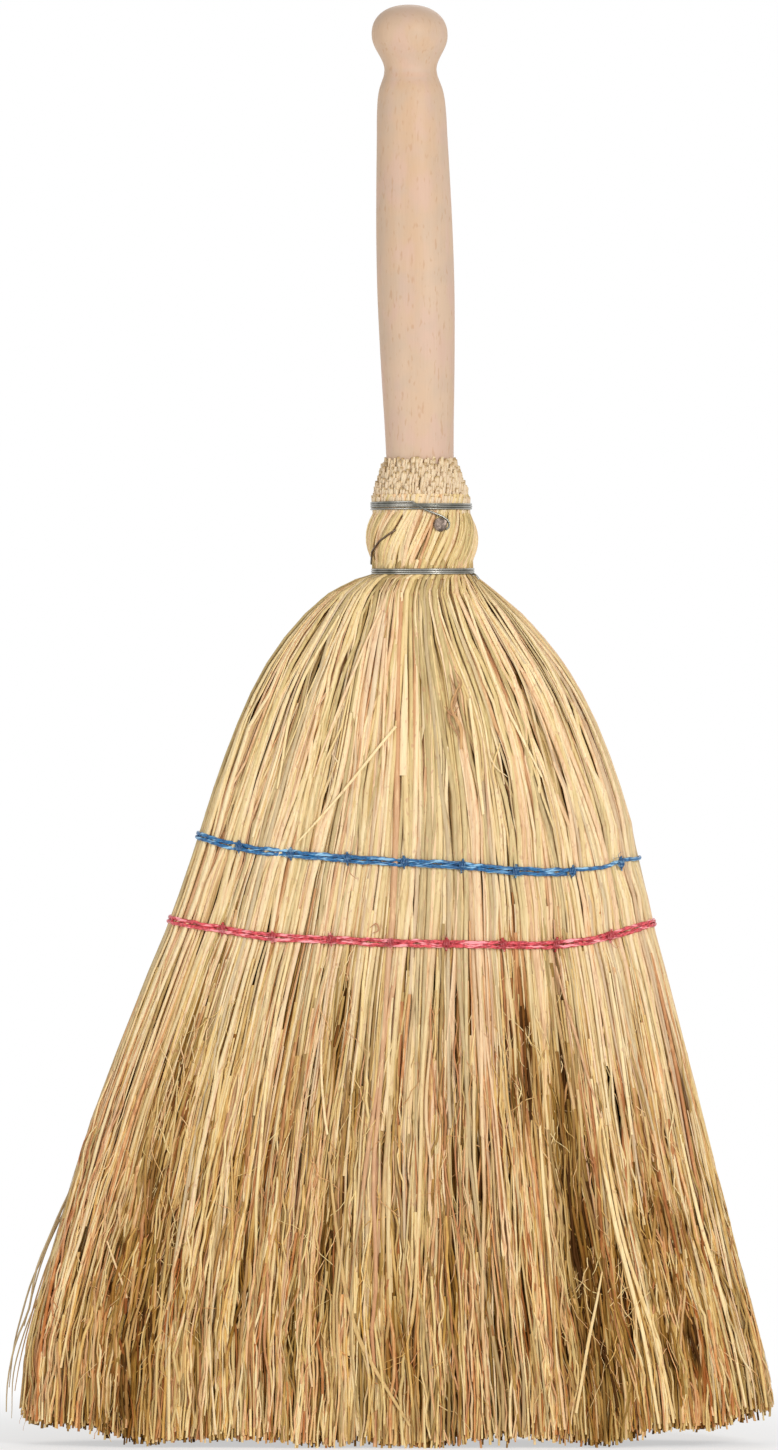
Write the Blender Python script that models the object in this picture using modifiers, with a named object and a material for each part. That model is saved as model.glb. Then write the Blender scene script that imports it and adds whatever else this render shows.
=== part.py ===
"""A short straw broom: a turned beech handle bound and nailed into a sewn head of sorghum straw.

Metres, +Z up. The front faces -Y. The broom stands on its straw tips, with the origin on the
floor under the middle of its sweep.
"""

import math
import random

import bmesh
import bpy
from mathutils import Vector
from mathutils.geometry import delaunay_2d_cdt

COLLECTION_NAME = "straw_broom"
CUTTER_COLLECTION_NAME = "straw_broom_cutters"

# Fits
PIECE_GAP = 0.0003
MERGE_DISTANCE = 0.00005
CAP_PRECISION = 0.000001
NAIL_HOLE_CLEARANCE = 0.0002

# Straw head
SWEEP_WIDTH = 0.2725
SWEEP_DEPTH = 0.0550
STRAW_LENGTH = 0.3139
NECK_OFFSET = 0.0092
LOCKS_PER_SIDE = 9
RIB_HEIGHT = 0.0006
STRAND_ROOT_DROP = 0.0060
TIP_ARCH = 0.0125
TIP_STAGGER = 0.0030
STANDING_CUT = 0.0005
STRAND_SEED = 7

# Straw round the neck
BAND_SPACING = 0.0236
COLLAR_LENGTH = 0.0169
COLLAR_WALL = 0.0012
COLLAR_ROUNDING = 0.0005
COLLAR_FOOT_WALL = 0.0066
COLLAR_FOOT_RISE = 0.0008
UPPER_BAND_WALL = 0.0062
BULGE_WALL = 0.0098
LOWER_BAND_WALL = 0.0084
NECK_TWIST = math.radians(28.0)

# Inner straw
CORE_GAP = 0.0008
CORE_WIDTH = 0.0900
CORE_THICKNESS = 0.0130
CORE_FOOT_THICKNESS = 0.0060
CORE_FOOT_MARGIN = 0.0040

# Handle
HANDLE_LEAN = math.radians(1.4)
KNOB_RADIUS = 0.0137
KNOB_CROWN = 0.0110
KNOB_SKIRT = 0.0130
WAIST_RADIUS = 0.0094
WAIST_FLARE = 0.0144
GRIP_LENGTH = 0.1253
GRIP_RADIUS = 0.0139
MOUTH_RADIUS = 0.0121
TENON_BELOW_BAND = 0.0240
TENON_TIP_RADIUS = 0.0070
TENON_CHAMFER = 0.0008

# Binding wire
WIRE_RADIUS = 0.00035
WIRE_TURN_GAP = 0.00045
WIRE_BAND_MARGIN = 0.0002
WIRE_TAIL = 0.0024
TAIL_SHARES = (0.45, 1.0)
HOOK_START = math.radians(-140.0)
HOOK_END = math.radians(90.0)
HOOK_POINTS = 6
LEAD_POINTS = 9
LEAD_RISE_SHARE = 0.75
LEAD_LIFT_SHARE = 0.25
CROSSOVER_POINTS = 9
LOOP_POINTS = 24
BAND_START_AZIMUTH = math.radians(-125.0)
BAND_LEAVE_AZIMUTH = math.radians(-1180.0)
LOWER_START_AZIMUTH = math.radians(-1260.0)
LOWER_END_AZIMUTH = math.radians(-2160.0)
TAIL_SWING = math.radians(-5.0)

# Nail
NAIL_AZIMUTH = math.radians(-70.0)
NAIL_BELOW_BAND = 0.0070
NAIL_HEAD_RADIUS = 0.0026
NAIL_HEAD_THICKNESS = 0.0009
NAIL_HEAD_CROWN_SHARE = 0.8
NAIL_SHANK_RADIUS = 0.0008
NAIL_DEPTH_IN_HANDLE = 0.0080
NAIL_POINT = 0.0025

# Twine and stitches
BLUE_ROW_HEIGHT = 0.2061
ROW_SPACING = 0.0261
ROW_RISE = 0.0130
TWINE_RADIUS = 0.0006
TWINE_TURN_GAP = 0.00045
TWINE_GAP = 0.00035
STITCH_RADIUS = 0.0004
STITCH_END_GAP = 0.0012
STITCH_CORNER = 0.0005

# Widths of the head as shares: of the straw's length up, and of half the sweep's width to each side
OUTLINE_SHARES = (
    (0.0000, -1.000, 0.992),
    (0.0499, -1.000, 1.000),
    (0.0820, -0.992, 0.986),
    (0.1588, -0.958, 0.941),
    (0.2219, -0.914, 0.901),
    (0.3263, -0.844, 0.841),
    (0.4352, -0.758, 0.778),
    (0.5545, -0.647, 0.703),
    (0.6692, -0.547, 0.645),
    (0.7460, -0.487, 0.607),
    (0.8526, -0.386, 0.509),
    (0.8939, -0.338, 0.451),
    (0.9272, -0.282, 0.393),
    (0.9524, -0.227, 0.337),
    (0.9788, -0.160, 0.263),
)
# Depth of the head: share of the straw's length up, and share of half the sweep's depth
DEPTH_SHARES = (
    (0.000, 1.000),
    (0.165, 0.926),
    (0.390, 0.815),
    (0.577, 0.700),
    (0.667, 0.667),
    (0.800, 0.710),
    (0.930, 0.720),
    (0.9788, 0.690),
)
# How square the head's section is, from a circle at the neck's foot to a flattened one
ROUND_EXPONENT = 2.0
FLAT_EXPONENT = 3.0
FLAT_FROM_SHARE = 0.85
# How the inner space narrows to its sides, as a circle round the tenon and as a lens below it
CIRCLE_REACH_EXPONENT = 0.5
LENS_REACH_EXPONENT = 1.0
# Places of the sewing across the head, as shares of its half width there
BLUE_SLIT_SHARES = (-0.782, -0.556, -0.307, -0.053, 0.204, 0.440, 0.693, 0.890)
RED_SLIT_SHARES = (-0.754, -0.552, -0.317, -0.077, 0.150, 0.378, 0.592, 0.810)
# How far a twine row rises above its lowest point: place across, and share of the rise
BLUE_RISE_SHARES = (
    (-1.00, 1.00),
    (-0.78, 0.68),
    (-0.30, 0.36),
    (0.20, 0.17),
    (0.45, 0.02),
    (0.80, 0.04),
    (1.00, 0.28),
)
RED_RISE_SHARES = (
    (-1.00, 0.69),
    (-0.75, 0.42),
    (-0.32, 0.14),
    (0.15, 0.02),
    (0.60, 0.00),
    (0.81, 0.24),
    (1.00, 0.59),
)
# Rise of the bulge between the bands: place from the upper to the lower one, and share of the rise
BULGE_SHARES = ((0.15, 0.62), (0.5, 1.0), (0.85, 0.62))
# Heights of the sections between the neck's foot and the tenon's end, and on to the core's end
SHOULDER_STATION_SHARES = (0.22, 0.58)
CORE_STATION_SHARES = (0.14, 0.55)
# Grip: place from the waist's flare down to the straw, and share of the grip's radius
GRIP_SHARES = ((0.0, 0.896), (0.14, 0.938), (0.374, 0.990), (0.53, 1.0), (0.67, 0.975), (0.82, 0.930))
FLARE_SHARES = ((0.28, 0.28), (0.55, 0.74), (0.80, 0.94))
KNOB_CROWN_STEPS = 6
KNOB_SKIRT_STEPS = 6
KNOB_SQUARENESS_SHARE = 0.85
HANDLE_STEPS = 24
NAIL_STEPS = 14
# Places across a lock where its outside is sampled, and how far its ribs stand there
ACROSS_SHARES = (0.0, 0.25, 0.5, 0.75, 1.0)
RIB_SHARES = (0.0, 1.0, 0.1, 1.0, 0.0)
# How far an outermost lock's lip reaches in from the head's side, towards that lock's middle
SIDE_LIP_SHARE = 0.4
# Places across the core where its section is sampled, between its two edges
CORE_PLACE_SHARES = (-0.75, -0.4, 0.0, 0.4, 0.75)
CORE_SUBSTEPS = 4
# Steps of a twine row over a lock, from the side of the head inwards
SIDE_ROW_PARTS = (4, 2, 2)
# Strands across and deep in a lock, at the sides of the head and elsewhere
SIDE_STRANDS = (4, 3)
STRANDS = (6, 3)
# Height of a strand's rings as shares of its root's height, and how much of its cell it fills there
STRAND_RING_SHARES = (1.0, 0.42, 0.0)
STRAND_FILL_SHARES = (0.78, 0.86, 0.62)
CELL_LIMIT_SHARE = 0.95
# The kind of triangulation that fills the inside of its outline
FILL_INSIDE = 1

STRAW_COLOUR = (0.60, 0.42, 0.20, 1.0)
CORE_COLOUR = (0.50, 0.36, 0.18, 1.0)
BEECH_COLOUR = (0.67, 0.47, 0.33, 1.0)
WIRE_COLOUR = (0.50, 0.50, 0.50, 1.0)
NAIL_COLOUR = (0.14, 0.13, 0.12, 1.0)
BLUE_COLOUR = (0.05, 0.16, 0.50, 1.0)
RED_COLOUR = (0.60, 0.02, 0.06, 1.0)

# Heights that follow from the sizes above
LOWER_BAND_HEIGHT = STRAW_LENGTH
UPPER_BAND_HEIGHT = LOWER_BAND_HEIGHT + BAND_SPACING
COLLAR_HEIGHT = UPPER_BAND_HEIGHT + COLLAR_LENGTH
TENON_END_HEIGHT = LOWER_BAND_HEIGHT - TENON_BELOW_BAND
NAIL_HEIGHT = UPPER_BAND_HEIGHT - NAIL_BELOW_BAND
RED_ROW_HEIGHT = BLUE_ROW_HEIGHT - ROW_SPACING

# Spacing of the turns, and half heights of the wire's bands and of a stitch round a twine row
WIRE_PITCH = 2 * WIRE_RADIUS + WIRE_TURN_GAP
TWINE_PITCH = 2 * TWINE_RADIUS + TWINE_TURN_GAP
UPPER_TURNS = (BAND_START_AZIMUTH - BAND_LEAVE_AZIMUTH) / math.tau
LOWER_TURNS = (LOWER_START_AZIMUTH - LOWER_END_AZIMUTH) / math.tau
BAND_HALF_HEIGHT = UPPER_TURNS * WIRE_PITCH / 2 + WIRE_RADIUS + WIRE_BAND_MARGIN
STITCH_HALF_HEIGHT = TWINE_PITCH / 2 + TWINE_RADIUS + PIECE_GAP + STITCH_RADIUS
SLIT_HALF_HEIGHT = STITCH_HALF_HEIGHT + STITCH_RADIUS + PIECE_GAP
SLIT_WIDTH = 2 * (STITCH_RADIUS + PIECE_GAP)
CORE_END_HEIGHT = BLUE_ROW_HEIGHT + ROW_RISE + SLIT_HALF_HEIGHT + CORE_FOOT_MARGIN
STRAND_ROOT_HEIGHT = RED_ROW_HEIGHT - SLIT_HALF_HEIGHT - STRAND_ROOT_DROP


def interpolate(table, key):
    """Read a table of (key, values...) rows, straight from one row to the next and flat beyond its ends."""
    if key <= table[0][0]:
        return table[0][1:]
    for low, high in zip(table, table[1:]):
        if key <= high[0]:
            share = (key - low[0]) / (high[0] - low[0])
            return tuple(a + (b - a) * share for a, b in zip(low[1:], high[1:]))
    return table[-1][1:]


def ease(share):
    """Turn a share from 0 to 1 into one that starts and ends gently."""
    share = min(1.0, max(0.0, share))
    return share * share * (3 - 2 * share)


def mix(low, high, share):
    return low + (high - low) * share


# The handle's line and the neck round it
def handle_axis_x(height):
    """Where the leaning handle's axis is, from side to side."""
    return NECK_OFFSET - (height - LOWER_BAND_HEIGHT) * math.tan(HANDLE_LEAN)


def tenon_radius(height):
    """The handle's radius inside the straw, a plain cone."""
    share = (height - TENON_END_HEIGHT) / (COLLAR_HEIGHT - TENON_END_HEIGHT)
    return mix(TENON_TIP_RADIUS, MOUTH_RADIUS, share)


def neck_stations():
    """Height, radius and ribs of the straw's outside round the tenon, from the collar down."""
    def outside(height, wall):
        return tenon_radius(height) + PIECE_GAP + wall

    upper_top = UPPER_BAND_HEIGHT + BAND_HALF_HEIGHT
    upper_foot = UPPER_BAND_HEIGHT - BAND_HALF_HEIGHT
    lower_top = LOWER_BAND_HEIGHT + BAND_HALF_HEIGHT
    lower_foot = LOWER_BAND_HEIGHT - BAND_HALF_HEIGHT
    upper_radius = outside(UPPER_BAND_HEIGHT, UPPER_BAND_WALL)
    lower_radius = outside(LOWER_BAND_HEIGHT, LOWER_BAND_WALL)
    stations = [
        (COLLAR_HEIGHT, outside(COLLAR_HEIGHT, COLLAR_WALL) - COLLAR_ROUNDING, 0.0),
        (COLLAR_HEIGHT - 2 * COLLAR_ROUNDING, outside(COLLAR_HEIGHT, COLLAR_WALL), 0.0),
        (upper_top + COLLAR_FOOT_RISE, outside(upper_top, COLLAR_FOOT_WALL), 0.0),
        (upper_top, upper_radius, 0.0),
        (upper_foot, upper_radius, 0.0),
    ]
    for place, rise in BULGE_SHARES:
        height = mix(upper_foot, lower_top, place)
        band = mix(upper_radius, lower_radius, place)
        stations.append((height, mix(band, outside(height, BULGE_WALL), rise), 1.0))
    stations.append((lower_top, lower_radius, 0.0))
    stations.append((lower_foot, lower_radius, 0.0))
    return stations


NECK_STATIONS = neck_stations()
NECK_FOOT_HEIGHT, NECK_FOOT_RADIUS = NECK_STATIONS[-1][:2]


def neck_radius(height):
    """The radius of the straw's outside at a height between the collar and the neck's foot."""
    return interpolate(sorted(NECK_STATIONS), height)[0]


def neck_twist(height):
    """How far the straws have turned round the handle, rising through the bulge."""
    return NECK_TWIST * max(0.0, height - NECK_FOOT_HEIGHT) / (UPPER_BAND_HEIGHT - NECK_FOOT_HEIGHT)


# The head's section at a height
def head_section(height):
    """The middle, half width, half depth and squareness of the straw's outline."""
    if height >= NECK_FOOT_HEIGHT:
        radius = neck_radius(height)
        return handle_axis_x(height), radius, radius, ROUND_EXPONENT
    half_sweep = SWEEP_WIDTH / 2
    rows = []
    for up, left_share, right_share in OUTLINE_SHARES:
        rows.append((up * STRAW_LENGTH, left_share * half_sweep, right_share * half_sweep))
    axis = handle_axis_x(NECK_FOOT_HEIGHT)
    rows.append((NECK_FOOT_HEIGHT, axis - NECK_FOOT_RADIUS, axis + NECK_FOOT_RADIUS))
    left, right = interpolate(rows, height)
    depths = [(up * STRAW_LENGTH, share * SWEEP_DEPTH / 2) for up, share in DEPTH_SHARES]
    depths.append((NECK_FOOT_HEIGHT, NECK_FOOT_RADIUS))
    depth = interpolate(depths, height)[0]
    flat_from = FLAT_FROM_SHARE * STRAW_LENGTH
    flatness = min(1.0, (NECK_FOOT_HEIGHT - height) / (NECK_FOOT_HEIGHT - flat_from))
    exponent = mix(ROUND_EXPONENT, FLAT_EXPONENT, flatness)
    return (left + right) / 2, (right - left) / 2, depth, exponent


def outline_point(angle, height, offset=0.0):
    """A point of the outline, unturned: the angle runs from pi at the left to 0 at the right."""
    middle, half_width, half_depth, exponent = head_section(height)
    cosine = math.cos(angle)
    sine = max(0.0, math.sin(angle))
    across = math.copysign(abs(cosine) ** (2 / exponent), cosine)
    return Vector((middle + (half_width + offset) * across, (half_depth + offset) * sine ** (2 / exponent)))


def share_across(angle, height):
    """The place of an outline angle across the head, from -1 at the left to 1 at the right."""
    exponent = head_section(height)[3]
    cosine = math.cos(angle)
    return math.copysign(abs(cosine) ** (2 / exponent), cosine)


def edge_angle(index, height):
    """The outline angle of the edge between two locks, even round the neck and at the sewing below."""
    even = math.pi * (1 - index / LOCKS_PER_SIDE)
    if height >= NECK_FOOT_HEIGHT or index in (0, LOCKS_PER_SIDE):
        return even
    down = (BLUE_ROW_HEIGHT - height) / ROW_SPACING
    place = mix(BLUE_SLIT_SHARES[index - 1], RED_SLIT_SHARES[index - 1], min(1.0, max(0.0, down)))
    exponent = head_section(height)[3]
    sewn = math.acos(math.copysign(abs(place) ** (exponent / 2), place))
    share = ease((NECK_FOOT_HEIGHT - height) / (NECK_FOOT_HEIGHT - BLUE_ROW_HEIGHT))
    return mix(even, sewn, share)


def row_rise(shares, place):
    return ROW_RISE * interpolate(shares, place)[0]


# The inner straw
def core_section(height):
    """Half width, half thickness and reach exponent of the inner space, or of the tenon above it."""
    if height >= TENON_END_HEIGHT:
        radius = tenon_radius(height) + PIECE_GAP
        return radius, radius, CIRCLE_REACH_EXPONENT
    down = (TENON_END_HEIGHT - height) / (TENON_END_HEIGHT - CORE_END_HEIGHT)
    top = TENON_TIP_RADIUS + PIECE_GAP
    spread = math.sin(min(1.0, down) * math.pi / 2)
    half_width = mix(top, CORE_WIDTH / 2, spread)
    half_depth = mix(mix(top, CORE_THICKNESS / 2, spread), CORE_FOOT_THICKNESS / 2, down ** 2)
    lens = min(1.0, down / CORE_STATION_SHARES[0])
    return half_width, half_depth, mix(CIRCLE_REACH_EXPONENT, LENS_REACH_EXPONENT, lens)


def inner_depth(x, height):
    """How far from the middle plane the inside of a lock lies."""
    if height < CORE_END_HEIGHT - MERGE_DISTANCE:
        return PIECE_GAP / 2
    half_width, half_depth, exponent = core_section(height)
    reach = 1 - ((x - handle_axis_x(height)) / half_width) ** 2
    return max(PIECE_GAP / 2, half_depth * max(0.0, reach) ** exponent)


def inner_x(angle, lip_angle, height):
    """Where a lock's inside point lies across: on the tenon in the neck, under the outline in the head."""
    outer = mix(outline_point(angle, height).x, outline_point(lip_angle, height).x, SIDE_LIP_SHARE)
    round_tenon = handle_axis_x(height) + core_section(max(height, TENON_END_HEIGHT))[0] * math.cos(angle)
    spread_height = (TENON_END_HEIGHT - CORE_END_HEIGHT) * CORE_STATION_SHARES[0]
    share = ease((TENON_END_HEIGHT - height) / spread_height)
    return mix(round_tenon, outer, share)


def lock_stations():
    """The sections of a lock, top first: a height for each place across, the slit's width and the ribs."""
    def level(height):
        return lambda place: height

    def row(base, shares, offset):
        return lambda place: base + row_rise(shares, place) + offset

    def between(place):
        rise = (row_rise(BLUE_RISE_SHARES, place) + row_rise(RED_RISE_SHARES, place)) / 2
        return (BLUE_ROW_HEIGHT + RED_ROW_HEIGHT) / 2 + rise

    stations = [(level(height), PIECE_GAP, ribs) for height, radius, ribs in NECK_STATIONS]
    shoulder = [mix(NECK_FOOT_HEIGHT, TENON_END_HEIGHT, share) for share in SHOULDER_STATION_SHARES]
    waist = [mix(TENON_END_HEIGHT, CORE_END_HEIGHT, share) for share in CORE_STATION_SHARES]
    for height in (*shoulder, TENON_END_HEIGHT, *waist, CORE_END_HEIGHT):
        stations.append((level(height), PIECE_GAP, 1.0))
    for base, shares in ((BLUE_ROW_HEIGHT, BLUE_RISE_SHARES), (RED_ROW_HEIGHT, RED_RISE_SHARES)):
        stations.append((row(base, shares, SLIT_HALF_HEIGHT), SLIT_WIDTH, 0.0))
        stations.append((row(base, shares, -SLIT_HALF_HEIGHT), SLIT_WIDTH, 0.0))
    stations.insert(-2, (between, PIECE_GAP, 1.0))
    stations.append((level(STRAND_ROOT_HEIGHT), PIECE_GAP, 1.0))
    return stations


def lock_section(index, height_at, slit, ribs):
    """One closed ring of a lock where y >= 0: the outside left to right, then the inside back."""
    guess = height_at(0.0)
    edges = []
    for edge in (index, index + 1):
        height = height_at(share_across(edge_angle(edge, guess), guess))
        edges.append(edge_angle(edge, height))
    outside = []
    inside = []
    for share, rib in zip(ACROSS_SHARES, RIB_SHARES):
        angle = mix(edges[0], edges[1], share)
        height = height_at(share_across(angle, guess))
        point = outline_point(angle, height, RIB_HEIGHT * rib * ribs)
        outside.append(Vector((point.x, point.y, height)))
        at_side = (index == 0 and share == 0) or (index == LOCKS_PER_SIDE - 1 and share == 1)
        x = inner_x(angle, mix(*edges, ACROSS_SHARES[2]) if at_side else angle, height)
        inside.append(Vector((x, 0.0 if at_side else inner_depth(x, height), height)))
    inside = inside[::2]
    for outer, inner, turn in ((outside[0], inside[0], -1), (outside[-1], inside[-1], 1)):
        along = (outer.xy - inner.xy).normalized()
        shift = Vector((-along.y, along.x, 0)) * (turn * slit / 2)
        outer += shift
        inner += shift
        inner.y = max(inner.y, PIECE_GAP / 2)
        outer.y = max(outer.y, PIECE_GAP / 2)
    return outside + inside[::-1]


def turned_with_neck(point, side):
    """Put a half plane point on its side of the head, 1 for the back and -1 for the front, and twist it."""
    x = point.x - handle_axis_x(point.z)
    y = point.y * side
    twist = neck_twist(point.z)
    return Vector((
        handle_axis_x(point.z) + x * math.cos(twist) - y * math.sin(twist),
        x * math.sin(twist) + y * math.cos(twist),
        point.z,
    ))


# Strands
def depth_at(ring, x):
    """The depth of a lock's outside at a place across, on the straight edges between its points."""
    rows = [(point.x, point.y) for point in ring[:len(ACROSS_SHARES)]]
    return interpolate(rows, x)[0]


def tip_height(x, draw):
    """Where a strand ends: lowest in the middle, higher at the sides, uneven, and cut flat to stand."""
    arch = TIP_ARCH * abs(2 * x / SWEEP_WIDTH) ** 3
    return max(0.0, arch + draw.random() ** 2 * TIP_STAGGER - STANDING_CUT)


def strand_rings(index, column, row, counts, draw):
    """The triangles of one strand, from its root to its tip, inside its own cell all the way."""
    columns, rows = counts
    flip = (column + row) % 2
    lean = (draw.uniform(-1, 1), draw.uniform(-1, 1))
    root = None
    rings = []
    for ring_share, fill in zip(STRAND_RING_SHARES, STRAND_FILL_SHARES):
        height = STRAND_ROOT_HEIGHT * ring_share
        if ring_share == 0:
            height = tip_height(root, draw)
        section = lock_section(index, lambda place: height, PIECE_GAP, 0.0)
        left, right = section[0].x, section[len(ACROSS_SHARES) - 1].x
        slack = (CELL_LIMIT_SHARE - fill) * (1 - ring_share)
        triangle = []
        corners = ((-1, -1), (1, -1), (0, 1)) if flip else ((-1, 1), (1, 1), (0, -1))
        for across, deep in corners:
            across_share = (column + (1 + across * fill + lean[0] * slack) / 2) / columns
            deep_share = (row + (1 + deep * fill + lean[1] * slack) / 2) / rows
            x = mix(left, right, across_share)
            y = mix(PIECE_GAP / 2, depth_at(section, x), deep_share)
            triangle.append(Vector((x, y, height)))
        root = sum(point.x for point in triangle) / len(triangle)
        rings.append(triangle)
    return rings


# Meshes
def material(name, colour, roughness, metallic=0.0):
    made = bpy.data.materials.new(name)
    made.use_nodes = True
    shader = made.node_tree.nodes["Principled BSDF"]
    shader.inputs["Base Color"].default_value = colour
    shader.inputs["Roughness"].default_value = roughness
    shader.inputs["Metallic"].default_value = metallic
    made.diffuse_color = colour
    return made


def add_object(name, data, collection, finish=None):
    made = bpy.data.objects.new(name, data)
    collection.objects.link(made)
    if finish:
        data.materials.append(finish)
    return made


def skin(mesh, rings, falling=(), rising=()):
    """Join rings of the same count with four-sided faces, and return their vertices.

    A face that starts at a place named in falling or rising is split along that diagonal, so that
    the walls of two neighbours stay parallel where they are warped.
    """
    made = [[mesh.verts.new(point) for point in ring] for ring in rings]
    for upper, lower in zip(made, made[1:]):
        for here in range(len(upper)):
            after = (here + 1) % len(upper)
            corners = (upper[here], upper[after], lower[after], lower[here])
            if here in falling:
                mesh.faces.new(corners[:3])
                mesh.faces.new((corners[0], corners[2], corners[3]))
            elif here in rising:
                mesh.faces.new((corners[0], corners[1], corners[3]))
                mesh.faces.new(corners[1:])
            else:
                mesh.faces.new(corners)
    return made


def close_round_strands(mesh, outline, roots):
    """Close a level ring with triangles, apart from the strands' roots inside it."""
    verts = []
    edges = []
    for loop in (outline, *roots):
        start = len(verts)
        edges += [(start + here, start + (here + 1) % len(loop)) for here in range(len(loop))]
        verts += loop
    flat = [vert.co.xy for vert in verts]
    found = delaunay_2d_cdt(flat, edges, [], FILL_INSIDE, CAP_PRECISION)
    faces, origins = found[2], found[3]
    left_open = [set(root) for root in roots]
    for face in faces:
        corners = [verts[origins[place][0]] for place in face]
        if set(corners) not in left_open:
            mesh.faces.new(corners)


def finished_mesh(name, mesh):
    bmesh.ops.recalc_face_normals(mesh, faces=mesh.faces)
    data = bpy.data.meshes.new(name)
    mesh.to_mesh(data)
    mesh.free()
    return data


def lock_mesh(name, index, side, draw):
    """A lofted lock of straw, whose lower end is a slice of backing with its strands fused to it."""
    mesh = bmesh.new()
    rings = [lock_section(index, *station) for station in lock_stations()]
    placed = [[turned_with_neck(point, side) for point in ring] for ring in rings]
    right_wall = len(ACROSS_SHARES) - 1
    left_wall = len(placed[0]) - 1
    body = skin(mesh, placed, falling=(right_wall,), rising=(left_wall,))
    mesh.faces.new(body[0])
    at_side = index in (0, LOCKS_PER_SIDE - 1)
    counts = SIDE_STRANDS if at_side else STRANDS
    roots = []
    for column in range(counts[0]):
        for row in range(counts[1]):
            strand = strand_rings(index, column, row, counts, draw)
            made = skin(mesh, [[turned_with_neck(point, side) for point in ring] for ring in strand])
            mesh.faces.new(made[-1])
            roots.append(made[0])
    close_round_strands(mesh, body[-1], roots)
    bmesh.ops.triangulate(mesh, faces=mesh.faces)
    return finished_mesh(name, mesh)


def cavity_outline(height):
    """The inside of all the locks on one side at a height, left to right."""
    rows = []
    for index in range(LOCKS_PER_SIDE):
        ring = lock_section(index, lambda place: height, 0.0, 0.0)
        rows += [(point.x, point.y) for point in reversed(ring[len(ACROSS_SHARES):])]
    return rows


def core_ring(upper, lower, share):
    """A section of the inner straw part way down between two of the locks' sections, a gap inside them."""
    height = mix(upper, lower, share)
    pairs = zip(cavity_outline(upper), cavity_outline(lower))
    cavity = [(mix(top[0], foot[0], share), mix(top[1], foot[1], share)) for top, foot in pairs]
    half_width = mix(core_section(upper)[0], core_section(lower)[0], share) - 2 * CORE_GAP
    axis = handle_axis_x(height)
    back = []
    for place in CORE_PLACE_SHARES:
        x = axis + place * half_width
        back.append((x, interpolate(cavity, x)[0] - CORE_GAP))
    front = [(x, -y) for x, y in reversed(back)]
    left, right = (axis - half_width, 0.0), (axis + half_width, 0.0)
    return [Vector((x, y, height)) for x, y in (left, *back, right, *front)]


def core_mesh(name):
    """The inner straw: round under the tenon, widening to a flat lens that ends above the sewing."""
    mesh = bmesh.new()
    shares = (0.0, *CORE_STATION_SHARES, 1.0)
    heights = [mix(TENON_END_HEIGHT, CORE_END_HEIGHT, share) for share in shares]
    rings = []
    for upper, lower in zip(heights, heights[1:]):
        rings += [core_ring(upper, lower, step / CORE_SUBSTEPS) for step in range(CORE_SUBSTEPS)]
    rings.append(core_ring(heights[-2], heights[-1], 1.0))
    for point in rings[0]:
        point.z -= PIECE_GAP
    made = skin(mesh, rings)
    mesh.faces.new(made[0])
    mesh.faces.new(made[-1])
    return finished_mesh(name, mesh)


def turned(name, profile, steps, collection, finish=None):
    """Turn a profile of (radius, height) points, top first, about the Z axis."""
    data = bpy.data.meshes.new(name)
    edges = [(here, here + 1) for here in range(len(profile) - 1)]
    data.from_pydata([(radius, 0, height) for radius, height in profile], edges, [])
    made = add_object(name, data, collection, finish)
    screw = made.modifiers.new("Turning", "SCREW")
    screw.steps = steps
    screw.render_steps = steps
    screw.use_merge_vertices = True
    screw.merge_threshold = MERGE_DISTANCE
    return made


def tube(name, points, radius, resolution, collection, finish):
    """A tube along points, with filled caps."""
    curve = bpy.data.curves.new(name, "CURVE")
    curve.dimensions = "3D"
    curve.bevel_depth = radius
    curve.bevel_resolution = resolution
    curve.use_fill_caps = True
    spline = curve.splines.new("POLY")
    spline.points.add(len(points) - 1)
    for slot, point in zip(spline.points, points):
        slot.co = (*point, 1)
    return add_object(name, curve, collection, finish)


def cut(target, cutter):
    """Cut a hole with a hidden cutter."""
    modifier = target.modifiers.new("Cut by " + cutter.name, "BOOLEAN")
    modifier.operation = "DIFFERENCE"
    modifier.solver = "EXACT"
    modifier.object = cutter


def least_gap(points, radius, apart):
    """The smallest clear distance between stretches of a tube that are some way apart along it."""
    least = math.inf
    for here, point in enumerate(points):
        for other in points[here + apart:]:
            least = min(least, (point - other).length)
    return least - 2 * radius


# Handle
def handle_profile():
    """Radius and height above the tenon's end, from the top of the knob down to that end."""
    mouth = (COLLAR_HEIGHT - TENON_END_HEIGHT) / math.cos(HANDLE_LEAN)
    grip_top = mouth + GRIP_LENGTH
    waist = grip_top + WAIST_FLARE
    widest = waist + KNOB_SKIRT
    profile = [(0.0, widest + KNOB_CROWN)]
    for step in range(1, KNOB_CROWN_STEPS):
        angle = math.pi / 2 * (1 - step / KNOB_CROWN_STEPS)
        radius = KNOB_RADIUS * math.cos(angle) ** KNOB_SQUARENESS_SHARE
        profile.append((radius, widest + KNOB_CROWN * math.sin(angle) ** KNOB_SQUARENESS_SHARE))
    for step in range(KNOB_SKIRT_STEPS + 1):
        share = step / KNOB_SKIRT_STEPS
        narrow = (1 - math.cos(math.pi * share)) / 2
        profile.append((mix(KNOB_RADIUS, WAIST_RADIUS, narrow), widest - KNOB_SKIRT * share))
    flare_radius = GRIP_SHARES[0][1] * GRIP_RADIUS
    for place, share in FLARE_SHARES:
        profile.append((mix(WAIST_RADIUS, flare_radius, share), waist - WAIST_FLARE * place))
    for place, share in GRIP_SHARES:
        profile.append((share * GRIP_RADIUS, grip_top - GRIP_LENGTH * place))
    profile.append((MOUTH_RADIUS, mouth))
    profile.append((TENON_TIP_RADIUS, TENON_CHAMFER))
    profile.append((TENON_TIP_RADIUS - TENON_CHAMFER, 0.0))
    profile.append((0.0, 0.0))
    return profile


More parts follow.
